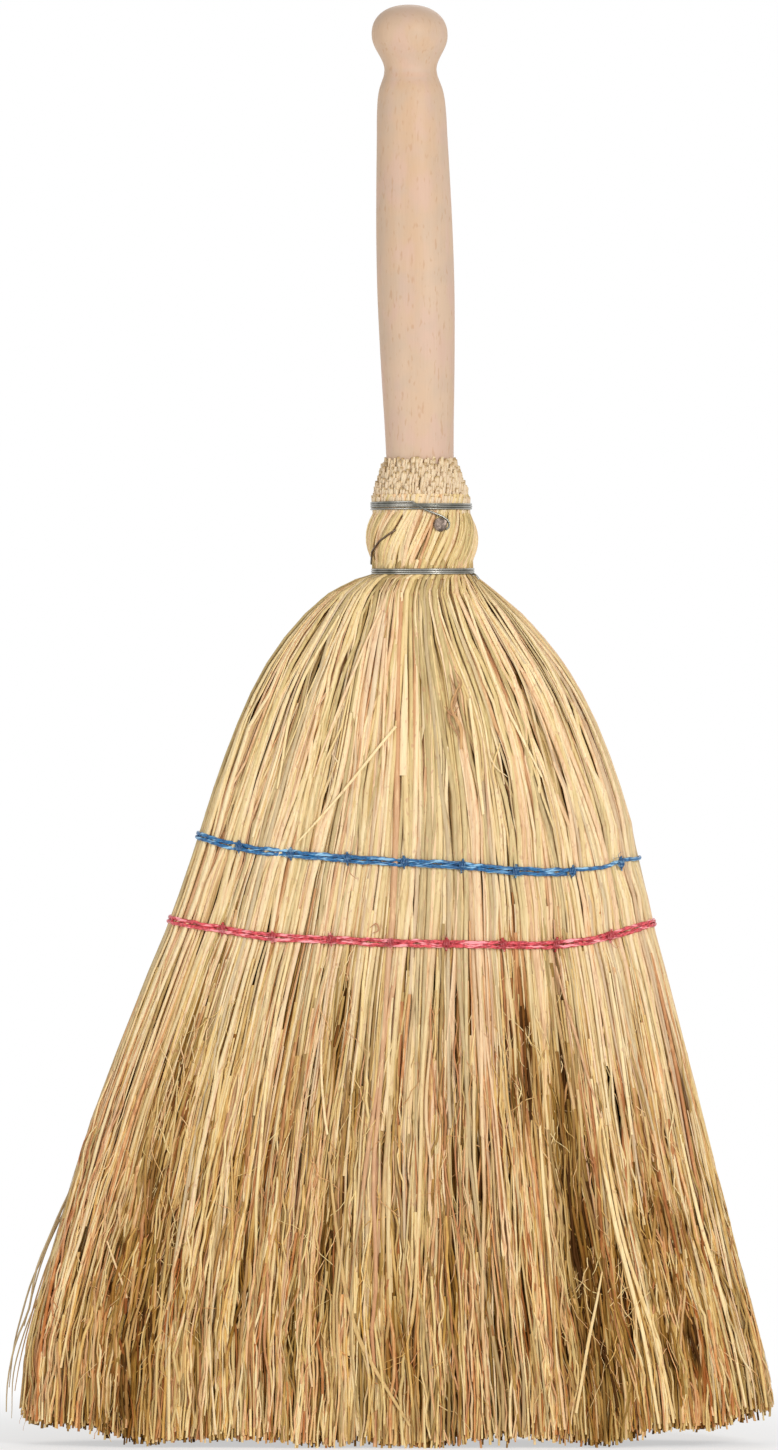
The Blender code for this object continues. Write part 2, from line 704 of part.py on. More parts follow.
def add_handle(collection, finish):
    """The handle leans to the left, about the place where its tenon ends."""
    handle = turned("handle", handle_profile(), HANDLE_STEPS, collection, finish)
    handle.location = (handle_axis_x(TENON_END_HEIGHT), 0, TENON_END_HEIGHT)
    handle.rotation_euler.y = -HANDLE_LEAN
    return handle


# Nail
def nail_seat_radius():
    """How far from the handle's axis the underside of the nail's head lies, above the hooked wire."""
    return neck_radius(NAIL_HEIGHT) + RIB_HEIGHT + 2 * WIRE_RADIUS + 2 * PIECE_GAP


def place_on_nail_line(made):
    """Point an object's Z axis out of the neck along the nail, from the handle's axis."""
    made.location = (handle_axis_x(NAIL_HEIGHT), 0, NAIL_HEIGHT)
    made.rotation_euler = (math.pi / 2, 0, NAIL_AZIMUTH + math.pi / 2)


def add_nail(collection, cutters, finish):
    """The nail and the cutter for its hole, whose point stops inside the handle."""
    seat = nail_seat_radius()
    point = tenon_radius(NAIL_HEIGHT) - NAIL_DEPTH_IN_HANDLE
    profile = [
        (0.0, seat + NAIL_HEAD_THICKNESS),
        (NAIL_HEAD_RADIUS * NAIL_HEAD_CROWN_SHARE, seat + NAIL_HEAD_THICKNESS),
        (NAIL_HEAD_RADIUS, seat + NAIL_HEAD_THICKNESS / 2),
        (NAIL_HEAD_RADIUS, seat),
        (NAIL_SHANK_RADIUS, seat),
        (NAIL_SHANK_RADIUS, point + NAIL_POINT),
        (0.0, point),
    ]
    nail = turned("nail", profile, NAIL_STEPS, collection, finish)
    place_on_nail_line(nail)
    hole_radius = NAIL_SHANK_RADIUS + NAIL_HOLE_CLEARANCE
    outside = seat + NAIL_HEAD_THICKNESS
    inside = point - NAIL_HOLE_CLEARANCE
    hole = [(0.0, outside), (hole_radius, outside), (hole_radius, inside), (0.0, inside)]
    cutter = turned("nail_hole_cutter", hole, NAIL_STEPS, cutters)
    place_on_nail_line(cutter)
    cutter.hide_render = True
    cutter.display_type = "WIRE"
    return cutter


def nail_meets_lock(index):
    """Whether the nail's hole runs into a front lock."""
    middle = neck_twist(NAIL_HEIGHT) - NAIL_AZIMUTH
    reach = math.asin((NAIL_SHANK_RADIUS + NAIL_HOLE_CLEARANCE) / tenon_radius(NAIL_HEIGHT))
    left = edge_angle(index, NAIL_HEIGHT)
    right = edge_angle(index + 1, NAIL_HEIGHT)
    return right < middle + reach and left > middle - reach


# Binding wire
def neck_point(azimuth, radius, height):
    """A point round the handle's axis: azimuth 0 at the right, -pi/2 at the front."""
    axis = handle_axis_x(height)
    return Vector((axis + radius * math.cos(azimuth), radius * math.sin(azimuth), height))


def wire_seat(height, ribs=1.0):
    """The radius at which the wire's middle lies on the straw."""
    flat = math.cos(math.pi / LOOP_POINTS)
    return (neck_radius(height) + RIB_HEIGHT * ribs + PIECE_GAP + WIRE_RADIUS) / flat


def wire_points():
    """The wire in one piece: hooked at the nail, wound, carried over the bulge, wound, and its tail."""
    points = []
    seat = nail_seat_radius() - PIECE_GAP - WIRE_RADIUS
    hook_radius = NAIL_SHANK_RADIUS + PIECE_GAP + WIRE_RADIUS
    centre = neck_point(NAIL_AZIMUTH, seat, NAIL_HEIGHT)
    sideways = Vector((-math.sin(NAIL_AZIMUTH), math.cos(NAIL_AZIMUTH), 0))
    upwards = Vector((0, 0, 1))
    for step in range(HOOK_POINTS):
        turn = mix(HOOK_START, HOOK_END, step / (HOOK_POINTS - 1))
        points.append(centre + hook_radius * (sideways * math.cos(turn) + upwards * math.sin(turn)))
    upper_start = UPPER_BAND_HEIGHT + UPPER_TURNS * WIRE_PITCH / 2
    upper_end = UPPER_BAND_HEIGHT - UPPER_TURNS * WIRE_PITCH / 2
    lower_start = LOWER_BAND_HEIGHT + LOWER_TURNS * WIRE_PITCH / 2
    lower_end = LOWER_BAND_HEIGHT - LOWER_TURNS * WIRE_PITCH / 2
    band_seat = wire_seat(UPPER_BAND_HEIGHT, 0.0)
    for step in range(1, LEAD_POINTS):
        share = step / LEAD_POINTS
        azimuth = mix(NAIL_AZIMUTH, BAND_START_AZIMUTH, share)
        height = mix(NAIL_HEIGHT + hook_radius, upper_start, min(1.0, share / LEAD_RISE_SHARE))
        lift = min(1.0, share / LEAD_LIFT_SHARE, (1 - share) / LEAD_LIFT_SHARE)
        radius = max(wire_seat(height), band_seat + WIRE_PITCH * lift)
        points.append(neck_point(azimuth, radius, height))
    points += helix(BAND_START_AZIMUTH, BAND_LEAVE_AZIMUTH, upper_start, upper_end, band_seat)
    for step in range(1, CROSSOVER_POINTS):
        share = step / CROSSOVER_POINTS
        height = mix(upper_end, lower_start, ease(share))
        azimuth = mix(BAND_LEAVE_AZIMUTH, LOWER_START_AZIMUTH, share)
        points.append(neck_point(azimuth, wire_seat(height), height))
    lower_seat = wire_seat(LOWER_BAND_HEIGHT, 0.0)
    points += helix(LOWER_START_AZIMUTH, LOWER_END_AZIMUTH, lower_start, lower_end, lower_seat)
    for share in TAIL_SHARES:
        azimuth = LOWER_END_AZIMUTH + TAIL_SWING * share
        points.append(neck_point(azimuth, lower_seat + WIRE_TAIL * share, lower_end - WIRE_RADIUS * share))
    return points


def helix(start, end, top, foot, radius):
    count = round(abs(start - end) / math.tau * LOOP_POINTS)
    shares = [step / count for step in range(count + 1)]
    return [neck_point(mix(start, end, share), radius, mix(top, foot, share)) for share in shares]


# Twine and stitches
def head_point(angle, height, offset, side):
    point = outline_point(angle, height, offset)
    return Vector((point.x, point.y * side, height))


def row_place(base, rise_shares, angle, lift):
    """The height of a twine row at an outline angle."""
    return base + row_rise(rise_shares, share_across(angle, base)) + lift


def row_angles(base):
    """Outline angles from left to right, closer together where the outline is more curved."""
    angles = []
    for index in range(LOCKS_PER_SIDE):
        from_side = min(index, LOCKS_PER_SIDE - 1 - index)
        parts = SIDE_ROW_PARTS[from_side] if from_side < len(SIDE_ROW_PARTS) else 1
        left, right = edge_angle(index, base), edge_angle(index + 1, base)
        angles += [mix(left, right, part / parts) for part in range(parts)]
    return angles + [0.0]


def twine_points(base, rise_shares):
    """Two turns round the head in one piece, which change level behind the left side."""
    offset = TWINE_GAP + TWINE_RADIUS
    angles = row_angles(base)
    changing = SIDE_ROW_PARTS[0]
    points = []

    def add(angle, side, lift):
        points.append(head_point(angle, row_place(base, rise_shares, angle, lift), offset, side))

    for lap, lift in enumerate((TWINE_PITCH / 2, -TWINE_PITCH / 2)):
        for angle in angles[1:] if lap == 0 else angles:
            add(angle, -1, lift)
        for angle in reversed(angles[changing:-1]):
            add(angle, 1, lift)
        if lap == 0:
            for step in range(1, changing):
                add(angles[changing - step], 1, lift * (1 - 2 * step / changing))
    return points


def stitch_points(base, rise_shares, index):
    """One stitch: in at the back below the row, up over it in front, and back through above it."""
    over = TWINE_GAP + 2 * TWINE_RADIUS + PIECE_GAP + STITCH_RADIUS

    def at(lift, reach, side):
        height = row_place(base, rise_shares, edge_angle(index, base), lift)
        surface = outline_point(edge_angle(index, height), height)
        return Vector((surface.x, (surface.y + reach) * side, height))

    half = STITCH_HALF_HEIGHT
    end = (STITCH_END_GAP + 2 * STITCH_RADIUS) / 2
    return [
        at(-end, over, 1),
        at(STITCH_CORNER - half, over, 1),
        at(-half, over - STITCH_CORNER, 1),
        at(-half, over - STITCH_CORNER, -1),
        at(STITCH_CORNER - half, over, -1),
        at(half - STITCH_CORNER, over, -1),
        at(half, over - STITCH_CORNER, -1),
        at(half, over - STITCH_CORNER, 1),
        at(half - STITCH_CORNER, over, 1),
        at(end, over, 1),
    ]


def clear_scene():
    for old in list(bpy.data.objects):
        bpy.data.objects.remove(old, do_unlink=True)


def new_collection(name):
    made = bpy.data.collections.new(name)
    bpy.context.scene.collection.children.link(made)
    return made


def main():
    clear_scene()
    parts = new_collection(COLLECTION_NAME)
    cutters = new_collection(CUTTER_COLLECTION_NAME)
    straw = material("sorghum_straw", STRAW_COLOUR, 0.6)
    inner_straw = material("inner_straw", CORE_COLOUR, 0.7)
    beech = material("beech", BEECH_COLOUR, 0.5)
    galvanised = material("galvanised_wire", WIRE_COLOUR, 0.35, 1.0)
    dark_steel = material("dark_steel", NAIL_COLOUR, 0.5, 1.0)
    blue = material("blue_twine", BLUE_COLOUR, 0.35)
    red = material("red_twine", RED_COLOUR, 0.35)

    handle = add_handle(parts, beech)
    nail_hole = add_nail(parts, cutters, dark_steel)
    cut(handle, nail_hole)
    add_object("core_bundle", core_mesh("core_bundle"), parts, inner_straw)

    draw = random.Random(STRAND_SEED)
    for side_name, side in (("front", -1), ("back", 1)):
        for index in range(LOCKS_PER_SIDE):
            name = f"{side_name}_lock_{index + 1}"
            lock = add_object(name, lock_mesh(name, index, side, draw), parts, straw)
            if side < 0 and nail_meets_lock(index):
                cut(lock, nail_hole)

    wire = wire_points()
    tube("binding_wire", wire, WIRE_RADIUS, 1, parts, galvanised)
    clear = least_gap(wire, WIRE_RADIUS, LOOP_POINTS // 2)
    print("binding_wire: least gap to itself %.5f m" % clear)
    rows = (
        ("blue", BLUE_ROW_HEIGHT, BLUE_RISE_SHARES, blue),
        ("red", RED_ROW_HEIGHT, RED_RISE_SHARES, red),
    )
    for colour, base, rise_shares, finish in rows:
        twine = twine_points(base, rise_shares)
        tube(f"{colour}_twine", twine, TWINE_RADIUS, 1, parts, finish)
        clear = least_gap(twine, TWINE_RADIUS, LOOP_POINTS // 2)
        print("%s_twine: least gap to itself %.5f m" % (colour, clear))
        for index in range(1, LOCKS_PER_SIDE):
            stitch = stitch_points(base, rise_shares, index)
            tube(f"{colour}_stitch_{index}", stitch, STITCH_RADIUS, 0, parts, finish)


main()
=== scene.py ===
"""Looks of a short straw broom: turned beech, bound straw, two rows of coloured sewing.

Metres, +Z up, the front faces -Y, and the straw stands on the floor at z = 0.
"""

import logging
import math
from dataclasses import dataclass, field
from enum import Enum
from typing import Any, Callable, Iterable, Sequence

import bpy
import numpy as np
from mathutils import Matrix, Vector


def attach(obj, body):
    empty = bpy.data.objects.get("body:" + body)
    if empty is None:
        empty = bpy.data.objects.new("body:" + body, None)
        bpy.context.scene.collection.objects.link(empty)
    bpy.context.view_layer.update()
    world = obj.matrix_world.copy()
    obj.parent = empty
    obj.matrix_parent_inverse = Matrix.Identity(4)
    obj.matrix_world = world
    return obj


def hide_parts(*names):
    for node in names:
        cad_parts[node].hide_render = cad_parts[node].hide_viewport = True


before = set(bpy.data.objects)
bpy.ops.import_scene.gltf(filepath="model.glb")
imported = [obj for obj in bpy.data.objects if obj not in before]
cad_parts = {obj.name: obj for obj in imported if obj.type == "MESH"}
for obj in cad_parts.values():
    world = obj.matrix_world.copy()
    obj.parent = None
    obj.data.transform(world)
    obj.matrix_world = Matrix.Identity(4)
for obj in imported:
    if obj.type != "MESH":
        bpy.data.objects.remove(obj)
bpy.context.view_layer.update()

LOG = logging.getLogger("straw_broom")
BODY = "root"
MM = 0.001
Array = np.ndarray
Colour = tuple[float, float, float]


def linear(colour: Colour) -> tuple[float, float, float, float]:
    """Turn a colour as it looks on screen into the one that a shader socket takes.

    Args:
        colour: red, green and blue from 0 to 1, as seen on screen.

    Returns:
        The linear colour with an alpha of 1.
    """
    channels = [c / 12.92 if c <= 0.04045 else ((c + 0.055) / 1.055) ** 2.4 for c in colour]
    return (channels[0], channels[1], channels[2], 1.0)


def unit(value: Array) -> Array:
    """Keep between 0 and 1."""
    return np.clip(value, 0.0, 1.0)


def smoothstep(low: float, high: float, value: Array) -> Array:
    """Rise gently from 0 at low to 1 at high; low may be the larger one."""
    share = unit((value - low) / (high - low))
    return share * share * (3.0 - 2.0 * share)


def even_steps(count: int) -> Array:
    """Give numbers from 0 to 1 in even steps."""
    return np.linspace(0.0, 1.0, count)


def blend(low: Any, high: Any, share: Array) -> Array:
    """Go from low to high by a share."""
    return low + (high - low) * share


def joined(*columns: Array) -> Array:
    """Make points of their coordinates."""
    return np.stack(columns, axis=-1)


def travelled(points: Array) -> Array:
    """Distance along a line at each of its points."""
    return np.concatenate([[0.0], np.cumsum(np.linalg.norm(np.diff(points, axis=0), axis=1))])


def placed(name: str, data: Any) -> bpy.types.Object:
    """Put data into the scene.

    Args:
        name: the object's name.
        data: its mesh, light or camera.

    Returns:
        The object, at the origin.
    """
    made = bpy.data.objects.new(name, data)
    bpy.context.scene.collection.objects.link(made)
    return made


def smooth_table(rows: Sequence[Sequence[float]], keys: Array, column: int = 1) -> Array:
    """Read one column of a table along a smooth curve through its rows.

    Args:
        rows: table rows, whose first column rises.
        keys: where to read.
        column: which column to read.

    Returns:
        The values at the keys, flat beyond the table's ends.
    """
    table = np.array(rows, float)
    x, y = table[:, 0], table[:, column]
    slope = np.gradient(y, x)
    clipped = np.clip(keys, x[0], x[-1])
    low = np.clip(np.searchsorted(x, clipped) - 1, 0, len(x) - 2)
    width = x[low + 1] - x[low]
    t = (clipped - x[low]) / width
    h00, h10 = 2 * t**3 - 3 * t**2 + 1, t**3 - 2 * t**2 + t
    h01, h11 = -2 * t**3 + 3 * t**2, t**3 - t**2
    return h00 * y[low] + h10 * width * slope[low] + h01 * y[low + 1] + h11 * width * slope[low + 1]


# Node trees


def arithmetic(operation: str, reflected: bool = False) -> Callable[["Term", Any], "Term"]:
    """Make an operator of Term.

    Args:
        operation: the Math node's operation.
        reflected: whether the term is the second value.

    Returns:
        The operator's method.
    """

    def operate(term: "Term", other: Any) -> "Term":
        """Add a Math node for a term and another value."""
        return term._math(operation, *((other, term) if reflected else (term, other)))

    return operate


class Term:
    """A value in a node tree, on which Python's arithmetic adds Math nodes."""

    def __init__(self, builder: "TreeBuilder", socket: bpy.types.NodeSocket) -> None:
        """Wrap an output socket of the builder's tree."""
        self.builder = builder
        self.socket = socket

    def _math(self, operation: str, *operands: Any) -> "Term":
        """Add a Math node, or a Vector Math node where a value is a vector.

        Args:
            operation: the node's operation.
            operands: its values, as terms or numbers.

        Returns:
            The node's result.
        """
        sockets = [o.socket for o in operands if isinstance(o, Term)]
        if any(s.type == "VECTOR" for s in sockets):
            wide = [(o,) * 3 if isinstance(o, (int, float)) else o for o in operands]
            kind, inputs = "ShaderNodeVectorMath", dict(enumerate(wide))
        else:
            kind, inputs = "ShaderNodeMath", dict(enumerate(operands))
        return self.builder.node(kind, {"operation": operation}, inputs)

    __add__ = arithmetic("ADD")
    __radd__ = arithmetic("ADD", reflected=True)
    __sub__ = arithmetic("SUBTRACT")
    __rsub__ = arithmetic("SUBTRACT", reflected=True)
    __mul__ = arithmetic("MULTIPLY")
    __truediv__ = arithmetic("DIVIDE")
    __rtruediv__ = arithmetic("DIVIDE", reflected=True)

    def sin(self) -> "Term":
        """Take the sine."""
        return self._math("SINE", self)

    def cos(self) -> "Term":
        """Take the cosine."""
        return self._math("COSINE", self)

    def clamped(self) -> "Term":
        """Keep between 0 and 1."""
        return self.builder.node("ShaderNodeClamp", {}, {"Value": self})

    def between(self, low: float, high: float) -> "Term":
        """Rise smoothly from 0 at low to 1 at high."""
        settings = {"interpolation_type": "SMOOTHSTEP"}
        return self.builder.node("ShaderNodeMapRange", settings, {"Value": self, 1: low, 2: high})


class TreeBuilder:
    """Adds nodes to a shader or geometry tree."""

    def __init__(self, tree: bpy.types.NodeTree) -> None:
        """Empty a tree and work in it."""
        self.tree = tree
        tree.nodes.clear()

    def node(
        self,
        kind: str,
        settings: dict[str, Any] | None = None,
        inputs: dict[str | int, Any] | None = None,
        output: str | int = 0,
    ) -> Term:
        """Add a node of any type.

        Args:
            kind: the node's type.
            settings: its own properties, set first; "stops" fills a colour ramp.
            inputs: values or terms for its sockets, by identifier, name or place.
            output: which output to return.

        Returns:
            The chosen output.
        """
        made = self.tree.nodes.new(kind)
        for key, value in (settings or {}).items():
            if key == "stops":
                self._fill_ramp(made.color_ramp, value)
            else:
                setattr(made, key, value)
        for key, value in (inputs or {}).items():
            socket = self._socket(made.inputs, key)
            if isinstance(value, Term):
                self.tree.links.new(value.socket, socket)
            elif hasattr(socket, "default_value"):
                socket.default_value = value
        if not made.outputs:
            return Term(self, None)
        return Term(self, self._socket(made.outputs, output))

    @staticmethod
    def _fill_ramp(ramp: bpy.types.ColorRamp, stops: Sequence[tuple[float, Colour]]) -> None:
        """Give a colour ramp its stops.

        Args:
            ramp: the ramp.
            stops: place and colour of each stop.
        """
        while len(ramp.elements) < len(stops):
            ramp.elements.new(1.0)
        for element, (place, colour) in zip(ramp.elements, stops):
            element.position = place
            element.color = linear(colour)

    @staticmethod
    def _socket(sockets: Any, key: str | int) -> bpy.types.NodeSocket:
        """Find a socket that is in use.

        Args:
            sockets: a node's inputs or outputs.
            key: the socket's identifier, name or place.

        Returns:
            The socket.
        """
        used = [s for s in sockets if s.enabled]
        if isinstance(key, int):
            return used[key]
        for socket in used:
            if socket.identifier == key:
                return socket
        return next(s for s in used if s.name == key)


class ShaderBuilder(TreeBuilder):
    """Adds the nodes of one procedural material."""

    def __init__(self, name: str) -> None:
        """Start a material.

        Args:
            name: the material's name.
        """
        self.material = bpy.data.materials.new(name)
        self.material.use_nodes = True
        super().__init__(self.material.node_tree)
        self.place = self.node("ShaderNodeTexCoord", {}, {}, "Object")

    def attribute(self, name: str) -> Term:
        """Read a number that the mesh carries."""
        return self.node("ShaderNodeAttribute", {"attribute_name": name}, {}, "Fac")

    def stretched(self, scale: tuple[float, float, float]) -> Term:
        """Scale the object's coordinates, more along one axis than another."""
        return self.node("ShaderNodeMapping", {}, {"Vector": self.place, "Scale": scale})

    def noise(self, vector: Term, scale: float = 1.0, detail: float = 2.0, roughness: float = 0.5) -> Term:
        """Sample a noise from 0 to 1."""
        inputs = {"Vector": vector, "Scale": scale, "Detail": detail, "Roughness": roughness}
        return self.node("ShaderNodeTexNoise", {}, inputs, "Fac")

    def ramp(self, factor: Term, stops: Sequence[tuple[float, Colour]]) -> Term:
        """Turn a number into a colour."""
        return self.node("ShaderNodeValToRGB", {"stops": stops}, {"Fac": factor}, "Color")

    def mix(self, factor: Term | float, low: Any, high: Any, blend: str = "MIX") -> Term:
        """Mix two colours.

        Args:
            factor: share of the second one.
            low: first colour, a term or a colour as seen on screen.
            high: second colour, likewise.
            blend: how they are blended.

        Returns:
            The mixed colour.
        """
        low, high = (c if isinstance(c, Term) else linear(c) for c in (low, high))
        settings = {"data_type": "RGBA", "blend_type": blend}
        inputs = {"Factor_Float": factor, "A_Color": low, "B_Color": high}
        return self.node("ShaderNodeMix", settings, inputs, "Result_Color")

    def bump(self, height: Term, distance: float, strength: float = 1.0) -> Term:
        """Turn a height into a normal."""
        inputs = {"Height": height, "Distance": distance, "Strength": strength}
        return self.node("ShaderNodeBump", {}, inputs, "Normal")

    def dress(self, inputs: dict[str, Any]) -> bpy.types.Material:
        """Finish the material with a Principled shader.

        Args:
            inputs: values and terms of the shader's sockets.

        Returns:
            The finished material.
        """
        shader = self.node("ShaderNodeBsdfPrincipled", {}, inputs)
        self.node("ShaderNodeOutputMaterial", {}, {"Surface": shader})
        return self.material


class SocketKind(Enum):
    """Kinds of input that a geometry tree takes."""

    NUMBER = "NodeSocketFloat"
    COUNT = "NodeSocketInt"
    FINISH = "NodeSocketMaterial"


class GeometryTree(TreeBuilder):
    """A geometry tree with named inputs, and what it makes of a guide."""

    def __init__(self, name: str, sizes: dict[str, SocketKind]) -> None:
        """Start a tree with its inputs.

        Args:
            name: the tree's name.
            sizes: the kind of each named input, besides the guide.
        """
        tree = bpy.data.node_groups.new(name, "GeometryNodeTree")
        super().__init__(tree)
        tree.interface.new_socket("Geometry", in_out="INPUT", socket_type="NodeSocketGeometry")
        self.identifiers: dict[str, str] = {}
        for label, kind in sizes.items():
            made = tree.interface.new_socket(label, in_out="INPUT", socket_type=kind.value)
            self.identifiers[label] = made.identifier
        tree.interface.new_socket("Geometry", in_out="OUTPUT", socket_type="NodeSocketGeometry")
        self.entry = tree.nodes.new("NodeGroupInput")

    def given(self, label: str) -> Term:
        """Return the named input."""
        return Term(self, self._socket(self.entry.outputs, label))

    def attribute(self, name: str) -> Term:
        """Read a number that the guide carries."""
        return self.node("GeometryNodeInputNamedAttribute", {"data_type": "FLOAT"}, {"Name": name})

    def sweep(self, line: Term, profile: Term, girth: Term) -> None:
        """Carry a profile along lines, and end the tree in the finish and real geometry.

        Args:
            line: the lines.
            profile: the curve that is carried along them.
            girth: its scale at each point.
        """
        inputs = {"Curve": line, "Profile Curve": profile, "Scale": girth, "Fill Caps": True}
        geometry = self.node("GeometryNodeCurveToMesh", {}, inputs)
        smooth = self.node("GeometryNodeSetShadeSmooth", {}, {"Geometry": geometry})
        inputs = {"Geometry": smooth, "Material": self.given("Finish")}
        dressed = self.node("GeometryNodeSetMaterial", {}, inputs)
        real = self.node("GeometryNodeRealizeInstances", {}, {"Geometry": dressed})
        self.node("NodeGroupOutput", {}, {"Geometry": real})

    def vector(self, x: Any, y: Any, z: Any) -> Term:
        """Join three numbers."""
        return self.node("ShaderNodeCombineXYZ", {}, {0: x, 1: y, 2: z})

    def scaled(self, vector: Term, factor: Term) -> Term:
        """Make a vector longer or shorter."""
        return self.node("ShaderNodeVectorMath", {"operation": "SCALE"}, {0: vector, "Scale": factor})

    def ring(self) -> Term:
        """Make a circle of radius 1 with the given sides."""
        inputs = {"Resolution": self.given("Sides"), "Radius": 1.0}
        return self.node("GeometryNodeCurvePrimitiveCircle", {}, inputs)

    def grow(self, name: str, guide: bpy.types.Mesh, sizes: dict[str, Any]) -> bpy.types.Object:
        """Run the tree on a guide and keep the result as a plain mesh.

        Args:
            name: the piece's name.
            guide: the mesh that the tree starts from.
            sizes: a value for each named input.

        Returns:
            The piece, at the origin.
        """
        piece = placed(name, guide)
        modifier = piece.modifiers.new(self.tree.name, "NODES")
        modifier.node_group = self.tree
        for label, value in sizes.items():
            modifier[self.identifiers[label]] = value
        bpy.context.view_layer.update()
        graph = bpy.context.evaluated_depsgraph_get()
        made = bpy.data.meshes.new_from_object(piece.evaluated_get(graph))
        piece.modifiers.clear()
        piece.data = made
        bpy.data.meshes.remove(guide)
        made.name = name
        return piece


@dataclass
class Guides:
    """Open lines of equal point count, with numbers that each point carries."""

    points: Array
    numbers: dict[str, Array]
    facing: Array | None = None

    def mesh(self, name: str) -> bpy.types.Mesh:
        """Write the lines as a mesh of edges.

        Args:
            name: the mesh's name.

        Returns:
            The mesh.
        """
        lines, count = self.points.shape[:2]
        mesh = bpy.data.meshes.new(name)
        mesh.vertices.add(lines * count)
        mesh.vertices.foreach_set("co", self.points.reshape(-1).astype(np.float32))
        first = (np.arange(lines)[:, None] * count + np.arange(count - 1)[None, :]).reshape(-1)
        pairs = np.stack([first, first + 1], axis=1).reshape(-1)
        mesh.edges.add(len(first))
        mesh.edges.foreach_set("vertices", pairs.astype(np.int32))
        for label, values in self.numbers.items():
            attribute = mesh.attributes.new(label, "FLOAT", "POINT")
            wide = np.broadcast_to(values, (lines, count)).reshape(-1)
            attribute.data.foreach_set("value", wide.astype(np.float32))
        facing = self.points * np.array([1.0, 1.0, 0.0]) if self.facing is None else self.facing
        attribute = mesh.attributes.new("facing", "FLOAT_VECTOR", "POINT")
        attribute.data.foreach_set("vector", facing.reshape(-1).astype(np.float32))
        return mesh

    def part(self, chosen: Array) -> "Guides":
        """Keep the chosen lines.

        Args:
            chosen: whether each line is kept.

        Returns:
            Guides with those lines alone.
        """
        numbers = {k: np.broadcast_to(v, self.points.shape[:2])[chosen] for k, v in self.numbers.items()}
        facing = None if self.facing is None else self.facing[chosen]
        return Guides(self.points[chosen], numbers, facing)


class StrawTree(GeometryTree):
    """Grows a straw along each guide line, wandering a little and as thick as the guide says."""

    def __init__(self) -> None:
        """Build the tree."""
        sizes = {
            "Sides": SocketKind.COUNT,
            "Wander": SocketKind.NUMBER,
            "Wander Size": SocketKind.NUMBER,
            "Crinkle": SocketKind.NUMBER,
            "Crinkle Size": SocketKind.NUMBER,
            "Thickness": SocketKind.NUMBER,
            "Finish": SocketKind.FINISH,
        }
        super().__init__("Straws on guides", sizes)
        lines = self.node("GeometryNodeMeshToCurve", {}, {"Mesh": self.given("Geometry")})
        loose = self.attribute("loose")
        place = self.node("GeometryNodeInputPosition")
        lot = self.attribute("lot")
        shift = None
        for size, reach in (("Wander Size", "Wander"), ("Crinkle Size", "Crinkle")):
            own = self.vector(lot * 31.0, lot * 17.0, lot * 53.0)
            grain = self.given(size)
            vector = place / self.vector(grain, grain, grain) + own
            inputs = {"Vector": vector, "Scale": 1.0, "Detail": 0.0}
            noise = self.node("ShaderNodeTexNoise", {}, inputs, "Color")
            inputs = {0: noise, 1: (0.5, 0.5, 0.5)}
            centred = self.node("ShaderNodeVectorMath", {"operation": "SUBTRACT"}, inputs)
            step = self.scaled(centred, self.given(reach) * loose * 4.0)
            shift = step if shift is None else shift + step
        moved = self.node("GeometryNodeSetPosition", {}, {"Geometry": lines, "Offset": shift})
        settings = {"data_type": "FLOAT_VECTOR"}
        outward = self.node("GeometryNodeInputNamedAttribute", settings, {"Name": "facing"})
        inputs = {"Curve": moved, "Normal": outward}
        faced = self.node("GeometryNodeSetCurveNormal", {"mode": "FREE"}, inputs)
        flattened = self.vector(self.given("Thickness"), 1.0, 1.0)
        profile = self.node("GeometryNodeTransform", {}, {"Geometry": self.ring(), "Scale": flattened})
        self.sweep(faced, profile, self.attribute("girth"))


class TwistedTree(GeometryTree):
    """Lays several plies round a guide line, twisted together."""

    def __init__(self) -> None:
        """Build the tree."""
        sizes = {
            "Plies": SocketKind.COUNT,
            "Ply Radius": SocketKind.NUMBER,
            "Lay Radius": SocketKind.NUMBER,
            "Turns per Metre": SocketKind.NUMBER,
            "Sides": SocketKind.COUNT,
            "Finish": SocketKind.FINISH,
        }
        super().__init__("Plies round a guide", sizes)
        line = self.node("GeometryNodeMeshToCurve", {}, {"Mesh": self.given("Geometry")})
        settings = {"domain": "SPLINE"}
        inputs = {"Geometry": line, "Amount": self.given("Plies")}
        copies = self.node("GeometryNodeDuplicateElements", settings, inputs)
        number = Term(self, copies.socket.node.outputs["Duplicate Index"])
        along = self.node("GeometryNodeSplineParameter", {}, {}, "Length")
        angle = (number / self.given("Plies") + along * self.given("Turns per Metre")) * math.tau
        normal = self.node("GeometryNodeInputNormal")
        tangent = self.node("GeometryNodeInputTangent")
        side = self.node("ShaderNodeVectorMath", {"operation": "CROSS_PRODUCT"}, {0: normal, 1: tangent})
        lay = self.given("Lay Radius")
        out = self.scaled(normal, angle.cos() * lay)
        over = self.scaled(side, angle.sin() * lay)
        moved = self.node("GeometryNodeSetPosition", {}, {"Geometry": copies, "Offset": out + over})
        self.sweep(moved, self.ring(), self.given("Ply Radius") * self.attribute("girth"))


# Finishes


